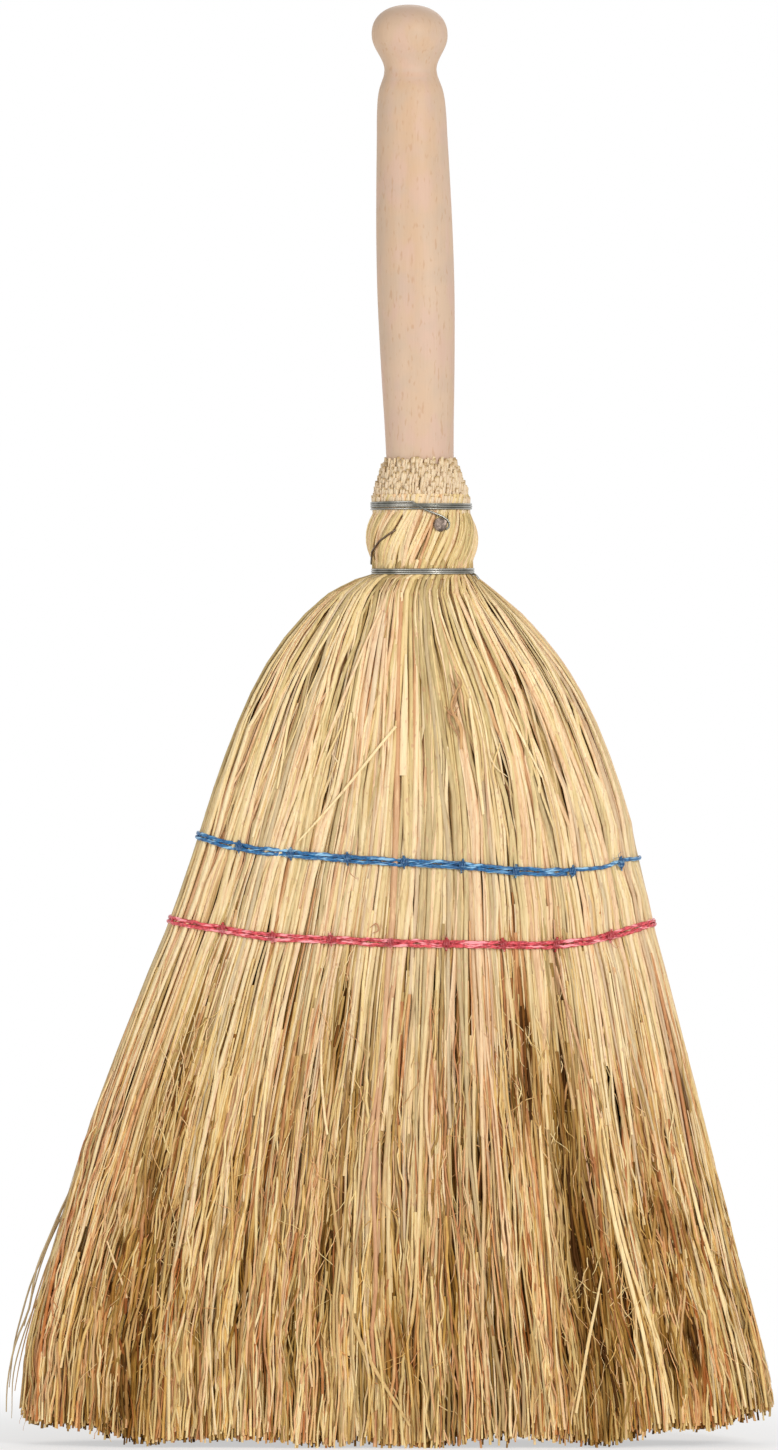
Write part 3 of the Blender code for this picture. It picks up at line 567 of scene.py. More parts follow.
@dataclass(frozen=True)
class StrawFinish:
    """Dry sorghum straw: each straw in its own tint, streaked, stained and more golden lower down, with
    painted shade on deep straws and in gaps.
    """

    name: str
    upper: tuple[tuple[float, Colour], ...] = (
        (0.00, (0.74, 0.66, 0.44)),
        (0.15, (0.87, 0.79, 0.54)),
        (0.36, (0.96, 0.86, 0.61)),
        (0.58, (1.00, 0.93, 0.74)),
        (0.74, (0.99, 0.86, 0.69)),
        (0.88, (0.94, 0.77, 0.57)),
        (1.00, (0.83, 0.61, 0.41)),
    )
    lower: tuple[tuple[float, Colour], ...] = (
        (0.00, (0.60, 0.44, 0.18)),
        (0.14, (0.82, 0.64, 0.31)),
        (0.32, (0.97, 0.80, 0.49)),
        (0.54, (1.00, 0.92, 0.67)),
        (0.72, (1.00, 0.84, 0.61)),
        (0.86, (0.94, 0.69, 0.44)),
        (1.00, (0.76, 0.47, 0.25)),
    )
    stain: Colour = (0.74, 0.46, 0.34)
    grey: Colour = (0.62, 0.55, 0.44)
    # The warm tint and the dark brown below are painted shade, which the shade number mixes in on deep
    # straws, in gaps and at cut ends; a few straws are this dark brown of their own.
    dark_straw_and_shade_tint: Colour = (0.93, 0.84, 0.58)
    bleached: Colour = (0.92, 0.85, 0.74)
    dark_straw_and_shade: Colour = (0.28, 0.16, 0.03)
    roughness: float = 0.6

    def material(self) -> bpy.types.Material:
        """Build the straw's material.

        Returns:
            The material.
        """
        shader = ShaderBuilder(self.name)
        tone = shader.attribute("tone")
        streak = shader.noise(shader.stretched((2600, 2600, 60)), 1.0, 3.0, 0.6)
        mottle = shader.noise(shader.stretched((800, 800, 130)), 1.0, 3.0, 0.6)
        shifted = (tone + (mottle - 0.5) * 0.6).clamped()
        golden = (shader.attribute("golden") + (mottle - 0.5) * 0.2).clamped()
        colour = shader.mix(golden, shader.ramp(shifted, self.upper), shader.ramp(shifted, self.lower))
        stained = (shader.attribute("stain") * (0.35 + streak * 1.1) - (1.0 - mottle) * 0.15).clamped()
        colour = shader.mix(stained * 0.85, colour, self.stain)
        specks = shader.noise(shader.stretched((900, 900, 420)), 1.0, 1.0).between(0.62, 0.74)
        colour = shader.mix(specks * 0.45, colour, self.stain)
        colour = shader.mix((shader.attribute("grey") * (0.6 + mottle * 0.6)).clamped(), colour, self.grey)
        colour = shader.mix(shader.attribute("pale") * (0.3 + mottle * 0.5), colour, self.bleached)
        colour = shader.mix((0.72 - streak).clamped() * 0.8, colour, (0.72, 0.52, 0.30), "MULTIPLY")
        # Painted shade: the shade number warms and darkens the colour towards a dark brown.
        shade = shader.attribute("shade").clamped()
        colour = shader.mix((shade * 1.5).clamped(), colour, self.dark_straw_and_shade_tint, "MULTIPLY")
        colour = shader.mix(shade, colour, self.dark_straw_and_shade)
        return shader.dress({
            "Base Color": colour,
            "Roughness": self.roughness + (streak - 0.5) * 0.25,
            "Normal": shader.bump(streak, 0.00012, 0.6),
            "Specular IOR Level": 0.1,
        })


@dataclass(frozen=True)
class BeechFinish:
    """Turned beech: pinkish and pale, with fine flecks along the grain and faint lathe lines."""

    name: str = "turned_beech"
    pale: Colour = (0.818, 0.714, 0.616)
    warm: Colour = (0.802, 0.674, 0.550)
    pink: Colour = (0.818, 0.686, 0.626)
    fleck: Colour = (0.74, 0.58, 0.45)
    grey: Colour = (0.76, 0.68, 0.60)
    lathe_lines: tuple[float, ...] = (0.4938, 0.4908)

    def material(self) -> bpy.types.Material:
        """Build the beech's material.

        Returns:
            The material.
        """
        shader = ShaderBuilder(self.name)
        bands = shader.noise(shader.stretched((90, 90, 7)), 1.0, 3.0)
        fine = shader.noise(shader.stretched((1500, 1500, 70)), 1.0, 4.0, 0.65)
        flecks = shader.noise(shader.stretched((900, 900, 260)), 1.0, 1.0).between(0.60, 0.74)
        blotch = shader.noise(shader.place, 90.0, 3.0).between(0.42, 0.68)
        rosy = shader.noise(shader.stretched((120, 120, 60)), 1.0, 2.0).between(0.45, 0.65)
        colour = shader.mix(bands.between(0.3, 0.7), self.pale, self.warm)
        colour = shader.mix(rosy * 0.5, colour, self.pink)
        colour = shader.mix(blotch * 0.42, colour, self.grey)
        colour = shader.mix(flecks * 0.5, colour, self.fleck)
        colour = shader.mix((1.0 - fine) * 0.22, colour, (0.80, 0.66, 0.54), "MULTIPLY")
        height = shader.node("ShaderNodeSeparateXYZ", {}, {"Vector": shader.place}, "Z")
        # The knob's crown is painted darker and greyer: partly its end grain, partly painted shade on the
        # top of the dome.
        crown = height.between(0.5045, 0.5180)
        colour = shader.mix(crown * 0.6, colour, (0.76, 0.66, 0.58))
        turned = fine * 0.5
        for line in self.lathe_lines:
            away = (height - line) * (height - line) * 2.5e6
            groove = 1.0 / (1.0 + away * away)
            colour = shader.mix((groove * 0.22 * (0.4 + rosy)).clamped(), colour, self.grey)
            turned = turned - groove * 0.5
        return shader.dress({
            "Base Color": colour,
            "Roughness": 0.52 + (fine - 0.5) * 0.2,
            "Normal": shader.bump(turned, 0.00018, 0.5),
            "Specular IOR Level": 0.3,
        })


@dataclass(frozen=True)
class MetalFinish:
    """Drawn or forged metal with a dull, uneven face."""

    name: str
    bright: Colour
    dull: Colour
    roughness: float
    grain: float
    metallic: float = 1.0
    relief: float = 0.15
    rust: Colour = (0.42, 0.32, 0.24)

    def material(self) -> bpy.types.Material:
        """Build the metal's material.

        Returns:
            The material.
        """
        shader = ShaderBuilder(self.name)
        cloud = shader.noise(shader.place, self.grain, 3.0, 0.6)
        fine = shader.noise(shader.place, self.grain * 6.0, 2.0)
        colour = shader.mix(cloud.between(0.35, 0.65), self.bright, self.dull)
        colour = shader.mix((shader.attribute("lot") * 0.8).clamped(), colour, self.rust)
        return shader.dress({
            "Base Color": colour,
            "Metallic": self.metallic,
            "Roughness": (self.roughness + (cloud - 0.5) * 0.3).clamped(),
            "Normal": shader.bump(fine, 0.00006, self.relief),
        })


@dataclass(frozen=True)
class TwineFinish:
    """Shiny synthetic twine, with painted glints along its filaments."""

    name: str
    body: Colour
    deep: Colour
    painted_glint_colour: Colour

    def material(self) -> bpy.types.Material:
        """Build the twine's material.

        Returns:
            The material.
        """
        shader = ShaderBuilder(self.name)
        lot = shader.attribute("lot")
        strand = shader.noise(shader.place, 900.0, 2.0, 0.6)
        # Painted highlights: bright glints along the twine, mixed into its colour.
        painted_sheen_mask = shader.noise(shader.stretched((170, 170, 900)), 1.0, 2.0).between(0.52, 0.62)
        colour = shader.mix(strand.between(0.3, 0.7), self.deep, self.body)
        colour = shader.mix(painted_sheen_mask * 0.9, colour, self.painted_glint_colour)
        colour = shader.mix((lot * 0.45).clamped(), colour, self.deep)
        return shader.dress({
            "Base Color": colour,
            "Roughness": 0.30 + strand * 0.2,
            "Coat Weight": 0.25,
            "Coat Roughness": 0.2,
            "Normal": shader.bump(strand, 0.00015, 0.6),
        })


class Slot(Enum):
    """Names of the kinds of finish; the pieces are given their materials directly."""

    BEECH = "beech"
    STRAW = "straw"
    INNER = "inner_straw"
    WIRE = "galvanised_wire"
    NAIL = "dark_steel"
    BLUE = "blue_twine"
    RED = "red_twine"


def settle(piece: bpy.types.Object, nodes: Iterable[str] = ()) -> bpy.types.Object:
    """Tell the frame what a finished piece is.

    Args:
        piece: the finished piece.
        nodes: CAD nodes that it stands for.

    Returns:
        The piece.
    """
    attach(piece, BODY)
    if nodes:
        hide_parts(*nodes)
    LOG.info("%s: %d faces", piece.name, len(piece.data.polygons))
    return piece


# Shape of the head, in millimetres


def signed_power(value: Array, power: float | Array) -> Array:
    """Raise the size of a number to a power and keep its sign."""
    return np.sign(value) * np.abs(value) ** power


@dataclass(frozen=True)
class SewnRow:
    """One row of twine across the head: where it runs and where it is knotted."""

    name: str
    line: tuple[tuple[float, float], ...]
    knots: tuple[float, ...]
    loop: tuple[tuple[float, float], ...]

    def height(self, x: Array) -> Array:
        """Height of the row at places across the head."""
        return smooth_table(self.line, np.asarray(x, float))


BLUE_ROW = SewnRow(
    "blue",
    (
        (-76, 221), (-71.1, 219.1), (-56.7, 214.9), (-38.2, 212.6), (-17.9, 210.8), (2.4, 209.5),
        (23.3, 208.3), (42.6, 206.4), (62.9, 206.1), (72.3, 206.7), (82.2, 209.4), (88, 210.4),
    ),
    (-56.7, -38.2, -17.9, 2.4, 23.3, 42.6, 62.9, 80.5),
    ((80, 210.5), (79.4, 211.9), (80.3, 213.2)),
)
RED_ROW = SewnRow(
    "red",
    (
        (-84, 189.8), (-81.5, 189), (-62.7, 185.4), (-44.8, 182.7), (-23.9, 181.8), (-2.4, 180.6),
        (17.7, 180.3), (38.1, 180), (57.1, 180), (76.6, 183.1), (91.8, 187.7), (94, 188.2),
    ),
    (-62.7, -44.8, -23.9, -2.4, 17.7, 38.1, 57.1, 76.6),
    ((76.3, 183), (77, 180.3), (78.5, 178.7), (79.8, 180.4), (78.4, 182.8)),
)


@dataclass(frozen=True)
class Tangle:
    """A streak of the head where fine brown fibres lie tangled, or where a dark gap opens."""

    x: float
    z: float
    half_width: float
    half_height: float
    strength: float
    # How far straws sink in there, and how much painted shade and grey they take.
    dark: float = 0.0


FRONT_TANGLES = tuple(Tangle(*row) for row in (
    (-97, 40, 11, 62, 1, 0.15), (-83, 108, 6, 30, 0.9, 0.2), (-74, 145, 4, 20, 0.8, 0.2),
    (-20.5, 152, 3.5, 22, 0.9, 0.2), (-25, 72, 3, 44, 0.5, 0.3), (-55, 58, 2, 26, 0.3, 0.2),
    (-40, 110, 2, 40, 0.5, 0.3), (0, 32, 5, 28, 0.5, 0.3), (46, 138, 5, 36, 0.9, 0.2),
    (60, 142, 2.5, 36, 0.4, 0.2), (69, 58, 8, 75, 0.8, 0.5), (84, 62, 2.2, 30, 0.3, 0.3),
    (100, 62, 8.5, 50, 0.8, 0.05), (112, 70, 1.8, 20, 0.2, 0.2),
))
BACK_TANGLES = tuple(Tangle(*row) for row in (
    (88, 50, 10, 58, 1, 0.2), (64, 120, 5, 34, 0.9, 0.3), (24, 60, 4, 46, 0.6, 0.6),
    (8, 150, 3.5, 24, 0.8, 0.3), (-32, 90, 6, 60, 0.9, 0.4), (-70, 130, 3, 30, 0.6, 0.4),
    (-104, 48, 9, 50, 1, 0.2),
))


@dataclass(frozen=True)
class Gap:
    """A narrow gap between the outer straws, pushed open and darkened with painted shade."""

    x: float
    z: float
    half_height: float
    push: float


FRONT_GAPS = tuple(Gap(*row) for row in (
    (27.3, 252, 13, 2), (23.5, 265, 8, 1.3), (-59, 206, 9, 0.8), (-40.5, 202, 8, 0.8),
    (-33, 246, 10, 0.5), (-48, 268, 12, 0.5), (14.5, 285, 12, 0.8), (-12, 266, 9, 0.5),
    (37.5, 245, 10, 1.4), (-28, 282, 8, 0.9), (-18.5, 290, 7, 0.8), (-37, 262, 9, 0.8),
    (33, 270, 8, 0.7), (-9.5, 238, 8, 0.6), (19, 234, 8, 0.6), (52, 254, 12, 0.6), (60, 232, 9, 0.5),
    (-66, 196, 8, 0.7), (-12, 296.5, 8, 0.9), (-30, 293, 9, 1), (-35.5, 284, 9, 0.9),
    (34.5, 300, 6, 0.8), (40, 276, 12, 0.9), (18, 294.5, 8, 0.8), (8, 298, 7, 0.6), (-3, 292, 8, 0.6),
    (27, 290, 8, 0.7), (3, 196, 7, 0.4), (-14, 130, 12, 0.9), (-27.5, 122, 16, 1.2),
    (-56, 100, 14, 0.9), (-57, 52, 20, 1.6), (-24, 62, 22, 1.8), (-21.5, 158, 8, 1), (30, 96, 20, 1),
    (20, 60, 20, 1), (65, 66, 12, 2.2), (73, 34, 18, 1.8), (81, 56, 20, 2.2), (60.5, 128, 24, 1),
    (69.5, 96, 20, 1.2), (60.5, 30, 16, 1.4), (79, 24, 14, 1.3), (47.5, 142, 18, 0.6),
    (41.5, 128, 14, 0.5), (-94, 34, 12, 1.2), (-47, 26, 14, 0.9), (-12, 24, 14, 0.9),
    (34.5, 24, 14, 0.9), (91, 88, 14, 0.9), (105, 36, 12, 0.8), (109, 77, 9, 2), (-84, 64, 14, 1),
    (-101, 66, 12, 1.2), (6, 40, 18, 1.2), (46, 50, 20, 1.2), (58, 110, 14, 1), (-38, 40, 16, 1.3),
    (-72, 34, 14, 1.2), (98, 30, 14, 1.3), (-115, 36, 14, 1.1), (120, 40, 14, 1), (80, 120, 12, 0.8),
))

# How far inside the outline a straight straw from the neck to the sewing lies: height and share
CHORDS = (
    (205, 0), (220, 0.04), (235, 0.10), (251, 0.17), (267, 0.24), (280, 0.29),
    (291, 0.33), (299, 0.32), (307, 0.22), (312, 0.04), (318, 0),
)


@dataclass(frozen=True)
class Stray:
    """A single straw in front: its line across and up, half widths along it and lift off the others."""

    line: tuple[tuple[float, float], ...]
    widths: tuple[float, ...]
    lift: float
    tone: float
    golden: float
    stain: float
    grey: float


STRAYS = tuple(Stray(*row) for row in (
    (((-0.4, 258.3), (-17, 238), (-35.4, 217.3)), (0.5, 0.48, 0.3), 1.3, 0.55, 0.3, 0, 0),
    (((3.2, 284), (2.6, 266), (2.1, 240.7)), (0.4, 1.35, 1.45), 0.25, 0.6, 0, 0, 0),
    (((18.6, 277), (20.8, 268), (18.4, 262), (21.8, 255)), (0.2, 0.5, 0.6, 0.2), 1, 0, 0.9, 0.5, 0.1),
    (
        ((22.2, 273), (19.4, 265), (22.6, 258), (22.8, 250)),
        (0.2, 0.4, 0.7, 0.4), 1.3, 0.15, 0.8, 0.6, 0,
    ),
    (((16.8, 265.5), (19.6, 262.5), (22.2, 266)), (0.12, 0.35, 0.1), 1.6, 0, 1, 0.7, 0),
    (((20.4, 279), (22.8, 274), (21, 269)), (0.1, 0.3, 0.1), 1.2, 0, 1, 0.4, 0.1),
    (((26, 268), (28.6, 246), (30.9, 226.6)), (0.5, 0.75, 0.55), 0.7, 0.5, 0.1, 0, 0),
    (((33.8, 258), (36.2, 250), (38.4, 237.4)), (0.3, 0.45, 0.15), 1, 0.6, 0.1, 0.2, 0),
    (((36.8, 252), (34.4, 243), (35.6, 236)), (0.2, 0.4, 0.15), 0.9, 0.3, 0.3, 0, 0),
    (((32.4, 250), (35, 244), (39.6, 240)), (0.15, 0.3, 0.1), 1.1, 0.5, 0, 0.3, 0),
    (((-17.6, 208), (-16.9, 205.4), (-14.6, 203.4)), (0.12, 0.2, 0.08), 1, 0, 0.6, 0.9, 0),
    (
        ((-9.6, 186.2), (-7.4, 187.6), (-6.6, 185.2), (-8.8, 184.2)),
        (0.12, 0.3, 0.3, 0.1), 1, 0, 0.8, 0.9, 0,
    ),
    (((-24.5, 106), (-22, 80), (-14.5, 42), (4.5, 8)), (0.3, 0.65, 0.8, 0.45), 0.5, 0.15, 0.6, 0.15, 0),
    (((-25, 112), (-26.8, 128), (-27.2, 146)), (0.45, 0.45, 0.3), 0.6, 0.6, 0.4, 0.1, 0),
    (
        (
            (-114.5, 98), (-124.2, 76.5), (-130.4, 61.5), (-132.4, 49), (-137.6, 35.2), (-140.4, 21.5),
            (-140.8, 11.4),
        ),
        (0.25, 0.4, 0.4, 0.35, 0.2), -6, 0.55, 0.1, 0, 0.7,
    ),
    (
        ((-115, 94), (-126.4, 70), (-132, 57), (-135.6, 45), (-138.6, 32), (-140, 20)),
        (0.2, 0.35, 0.35, 0.15), -9, 0.5, 0.1, 0, 0.8,
    ),
    (
        ((-118.5, 82), (-127, 62), (-131.4, 46.5), (-134.9, 34), (-137.6, 19)),
        (0.2, 0.3, 0.15), -3, 0.2, 0.5, 0.5, 0.2,
    ),
    (
        ((-110.5, 108), (-121, 84), (-129, 62), (-134.6, 42)),
        (0.2, 0.3, 0.3, 0.15), -8, 0.4, 0.2, 0, 0.7,
    ),
    (
        ((-123, 66), (-133.6, 42), (-138, 27), (-138.9, 9)),
        (0.15, 0.25, 0.25, 0.1), -5, 0.5, 0.2, 0, 0.6,
    ),
    (((-83, 176), (-86.5, 160), (-95.5, 136)), (0.2, 0.35, 0.2), 0.2, 0.4, 0.3, 0, 0.3),
    (((12.4, 146), (10.4, 122), (12.6, 96)), (0.35, 0.6, 0.35), 0.7, 0.55, 0.3, 0.5, 0),
    (((76, 170), (80.5, 140), (84, 112)), (0.4, 0.65, 0.5), 0.8, 0.5, 0.1, 0, 0),
    (((57, 172), (63, 150), (73, 118)), (0.3, 0.5, 0.3), 0.9, 0.9, 0.3, 0.3, 0.2),
    (((-21, 298), (-36, 270), (-43, 236)), (0.4, 0.6, 0.35), 0.3, 0.45, 0.1, 0, 0),
    (((24, 306), (37, 270), (52, 240)), (0.4, 0.6, 0.35), 0.3, 0.55, 0, 0, 0),
    (((-6, 300), (-22, 262), (-30, 240)), (0.35, 0.55, 0.2), 0.4, 0.7, 0.1, 0.2, 0),
    (((73.4, 63), (68.5, 38), (64, 12.8)), (0.3, 0.6, 0.5), 0.9, 0.45, 0.7, 0.2, 0),
    (((69.5, 132), (75.5, 92), (89, 36), (93.5, 8.5)), (0.5, 0.75, 0.75, 0.5), 0.6, 0.5, 0.6, 0, 0),
    (((73, 118), (80.5, 76), (95, 30), (99, 9)), (0.4, 0.65, 0.65, 0.4), 0.4, 0.42, 0.5, 0, 0),
    (((101.5, 112), (108, 84), (119, 44), (125, 14)), (0.4, 0.7, 0.65, 0.4), 0.3, 0.5, 0.5, 0, 0),
    (((50.5, 120), (54, 74), (58, 12)), (0.4, 0.75, 0.5), 0.5, 0.5, 0.5, 0.1, 0),
    (((-104, 74), (-96, 48), (-99, 22)), (0.3, 0.45, 0.2), 0.6, 0.6, 0.8, 0.4, 0),
))


@dataclass
class HeadShape:
    """Outline of the straw, from the round neck down into the wide sweep."""

    outline: tuple[tuple[float, float, float], ...] = (
        (0, -136, 135.4), (10.6, -135.6, 135.4), (15.7, -135.2, 135), (25.7, -134.2, 133.4),
        (37.3, -133, 130.6), (49.9, -129.7, 127.4), (69.7, -123.9, 122), (87.7, -118.7, 117.4),
        (102.4, -114.4, 113.6), (118.6, -109.2, 109.8), (136.6, -102.6, 105.2), (156.1, -95, 100.2),
        (174.1, -87.8, 95.6), (188.5, -81.8, 91.9), (210.1, -74.2, 87.1), (220.9, -70.9, 84.8),
        (234.2, -66.6, 81), (251.5, -60.5, 75), (267.7, -53.8, 67.8), (280.6, -47.1, 60.1),
        (291.1, -39.8, 51.9), (299, -32.8, 44.5), (307.3, -22.6, 34.6), (312, -13, 28.6),
    )
    depths: tuple[tuple[float, float], ...] = (
        (0, 27.3), (51.8, 25.5), (122.4, 22.4), (181.1, 19.25), (209.4, 18.3), (251.1, 19.5),
        (291.9, 19.8), (305, 18.8), (312, 18),
    )
    neck: tuple[tuple[float, float], ...] = (
        (312, 18), (316.1, 17.9), (319, 18.9), (322, 19.6), (325.7, 19.9), (329.5, 19.6),
        (332.4, 18.9), (335, 17.8), (339.7, 17.6), (341, 17.6), (354.4, 13.1),
    )
    tips: tuple[tuple[float, float], ...] = (
        (-135.8, 10.6), (-127.9, 8.1), (-107.4, 7), (-93, 3.4), (-53.4, 3.4), (-26.7, 1.3),
        (-3.3, 1.3), (-1.5, 0.6), (25.8, 2.3), (44.2, 3.6), (75.9, 2.7), (94.2, 6.3),
        (112.6, 7.4), (121.6, 9.2), (131, 12.8), (135.3, 14.6),
    )
    foot: float = 312.0
    flat_from: float = 266.8
    neck_offset: float = 9.2
    lean_height: float = 313.9
    lean: float = math.radians(1.4)
    twist: float = math.radians(28.0)
    twist_top: float = 337.5
    row_step: float = 3.0
    columns: int = 480
    rows: tuple[SewnRow, ...] = (BLUE_ROW, RED_ROW)
    gaps: tuple[Gap, ...] = FRONT_GAPS
    front: tuple[Tangle, ...] = FRONT_TANGLES
    back: tuple[Tangle, ...] = BACK_TANGLES
    angles: Array = field(init=False)

    def __post_init__(self) -> None:
        """Work out, for each height, the outline's angle at even steps round it."""
        heights = np.arange(0, self.foot + self.row_step, self.row_step)
        turn = np.linspace(math.pi, 3 * math.pi, 2161)
        even = even_steps(self.columns + 1)
        table = []
        for height in heights:
            _, width, depth, exponent = self.section(height)
            x = width * signed_power(np.cos(turn), 2 / exponent)
            y = depth * signed_power(np.sin(turn), 2 / exponent)
            length = travelled(joined(x, y))
            table.append(np.interp(even, length / length[-1], turn))
        self.angles = np.array(table)

    def axis(self, height: Array) -> Array:
        """Where the leaning handle's axis is, from side to side."""
        return self.neck_offset - (np.asarray(height, float) - self.lean_height) * math.tan(self.lean)

    def section(self, height: Array) -> tuple[Array, Array, Array, Array]:
        """Cut the outline level.

        Args:
            height: where it is cut.

        Returns:
            Its middle, half width, half depth and squareness there.
        """
        left = smooth_table(self.outline, height, 1)
        right = smooth_table(self.outline, height, 2)
        depth = smooth_table(self.depths, height)
        flatness = unit((self.foot - height) / (self.foot - self.flat_from))
        return (left + right) / 2, (right - left) / 2, depth, 2 + flatness

    def surface(self, share: Array, height: Array, inset: Array) -> Array:
        """Find points under the straw's outside.

        Args:
            share: way round from the left side: 0.25 is the front, 0.5 the right side, 0.75 the back.
            height: height above the floor.
            inset: depth under the outside.

        Returns:
            The points, with x, y and z last.
        """
        share, height, inset = np.broadcast_arrays(share, height, inset)
        row = np.clip(height / self.row_step, 0, len(self.angles) - 1.001)
        column = np.mod(share, 1) * self.columns
        r, c = row.astype(int), np.minimum(column.astype(int), self.columns - 1)
        fr, fc = row - r, column - c
        table = self.angles
        low = table[r, c] * (1 - fc) + table[r, c + 1] * fc
        high = table[r + 1, c] * (1 - fc) + table[r + 1, c + 1] * fc
        angle = low * (1 - fr) + high * fr
        middle, width, depth, exponent = self.section(height)
        x = middle + np.maximum(width - inset, 1) * signed_power(np.cos(angle), 2 / exponent)
        y = np.maximum(depth - inset, 0.5) * signed_power(np.sin(angle), 2 / exponent)
        return joined(x, y, height)

    def sewn(self, share: Array, height: Array, inset: Array) -> Array:
        """Find points under the outside where the sewing has drawn the straws in and apart.

        Args:
            share: way round from the left side.
            height: height above the floor.
            inset: depth under the outside.

        Returns:
            The points, with x, y and z last.
        """
        bare = self.surface(share, height, inset)
        x, z = bare[..., 0], bare[..., 2]
        inward, aside = np.zeros_like(x), np.zeros_like(x)
        for row in self.rows:
            off = z - row.height(x)
            near = np.exp(-(off / 8) ** 2)
            inward += 0.5 * np.exp(-(off / 5) ** 2)
            inward += np.maximum(0.85 - inset, 0) * np.exp(-(off / 4) ** 2)
            for knot in row.knots:
                away = x - knot
                inward += np.exp(-(away / 5) ** 2) * near
                parted = np.exp(-(away / 3.2) ** 2 - np.maximum(inset, 0) / 1.6)
                aside += 0.5 * np.tanh(away / 0.4) * parted * near
        for gap in self.gaps:
            away = self._off_gap(gap, x, z)
            parted = np.exp(-(away / 3.4) ** 2 - ((z - gap.z) / gap.half_height) ** 2)
            parted = parted * np.exp(-np.maximum(inset, 0) / 2.4)
            aside += 1.35 * gap.push * np.tanh(away / 0.35) * parted
        drawn = self.surface(share, height, inset + inward)
        drawn[..., 0] += aside
        return drawn

    def slack(self, points: Array) -> Array:
        """How freely straws lie at points, from 0 to 1: least under the twine."""
        held = [np.exp(-((points[..., 2] - row.height(points[..., 0])) / 7) ** 2) for row in self.rows]
        return 1 - 0.85 * np.maximum(*held)

    def _off_gap(self, gap: Gap, x: Array, z: Array) -> Array:
        """Find how far to the side of a gap, which fans out with the head, points are.

        Args:
            gap: the gap.
            x: places across.
            z: places up.

        Returns:
            The distances, less than 0 at its left.
        """
        middle, width, _, _ = self.section(z)
        centre, half, _, _ = self.section(gap.z)
        return x - middle - width * (gap.x - centre) / half

    def gap_shade(self, points: Array) -> Array:
        """Tell how much painted shade the gaps put on points at the front.

        Args:
            points: places in millimetres.

        Returns:
            The darkness from 0 to 1.
        """
        deep = np.zeros(points.shape[:-1])
        for gap in self.gaps:
            away = self._off_gap(gap, points[..., 0], points[..., 2])
            near = np.exp(-(away / 1.1) ** 2 - ((points[..., 2] - gap.z) / gap.half_height) ** 2)
            deep = np.maximum(deep, min(0.5 + 0.4 * gap.push, 1) * near)
        return deep * (points[..., 1] < 0)

    def share_at(self, x: Array, height: Array, back: bool = False) -> Array:
        """Find the way round at which the outline is at given places across.

        Args:
            x: places across.
            height: heights of the same count.
            back: whether the back is meant rather than the front.

        Returns:
            The ways round.
        """
        shares = np.linspace(0.5, 1, 241) if back else np.linspace(0, 0.5, 241)
        found = []
        for place, level in zip(np.atleast_1d(x), np.atleast_1d(height)):
            across = self.surface(shares, np.full(241, level), np.zeros(241))[:, 0]
            order = np.argsort(across)
            found.append(np.interp(place, across[order], shares[order]))
        return np.array(found)

    def neck_point(self, azimuth: Array, radius: Array, height: Array) -> Array:
        """Points round the handle's axis: azimuth 0 is at the right, -pi/2 at the front."""
        x = self.axis(height) + radius * np.cos(azimuth)
        return joined(x, radius * np.sin(azimuth), np.broadcast_to(height, x.shape))

    def tip_height(self, x: Array) -> Array:
        """Height at which the straw is cut, across the head."""
        clumps = 0.5 * np.sin(x * 0.31) + 0.45 * np.sin(x * 0.83 + 1) + 0.3 * np.sin(x * 1.9)
        return np.maximum(smooth_table(self.tips, x) + clumps, 0.2)

    def middle(self, height: Array) -> Array:
        """Points on the head's middle plane that straws face away from."""
        middle, _, _, _ = self.section(height)
        return joined(middle, np.zeros_like(middle), height)

    def tangled(self, points: Array) -> tuple[Array, Array]:
        """Tell how tangled and how dark the head is at points near its outside.

        Args:
            points: places in millimetres.

        Returns:
            How tangled from 0 to 1, and how dark from 0 to 1.
        """
        middle, width, _, _ = self.section(points[..., 2])
        across = (points[..., 0] - middle) / width
        amount, dark = np.zeros_like(across), np.zeros_like(across)
        for tangles, side in ((self.front, points[..., 1] <= 0), (self.back, points[..., 1] > 0)):
            for tangle in tangles:
                centre, half, _, _ = self.section(tangle.z)
                place, reach = (tangle.x - centre) / half, tangle.half_width / half
                along = np.abs((points[..., 2] - tangle.z) / tangle.half_height)
                near = np.exp(-((across - place) / reach) ** 2 - along ** 3) * side
                amount = np.maximum(amount, tangle.strength * near)
                dark = np.maximum(dark, tangle.dark * near)
        return amount, dark


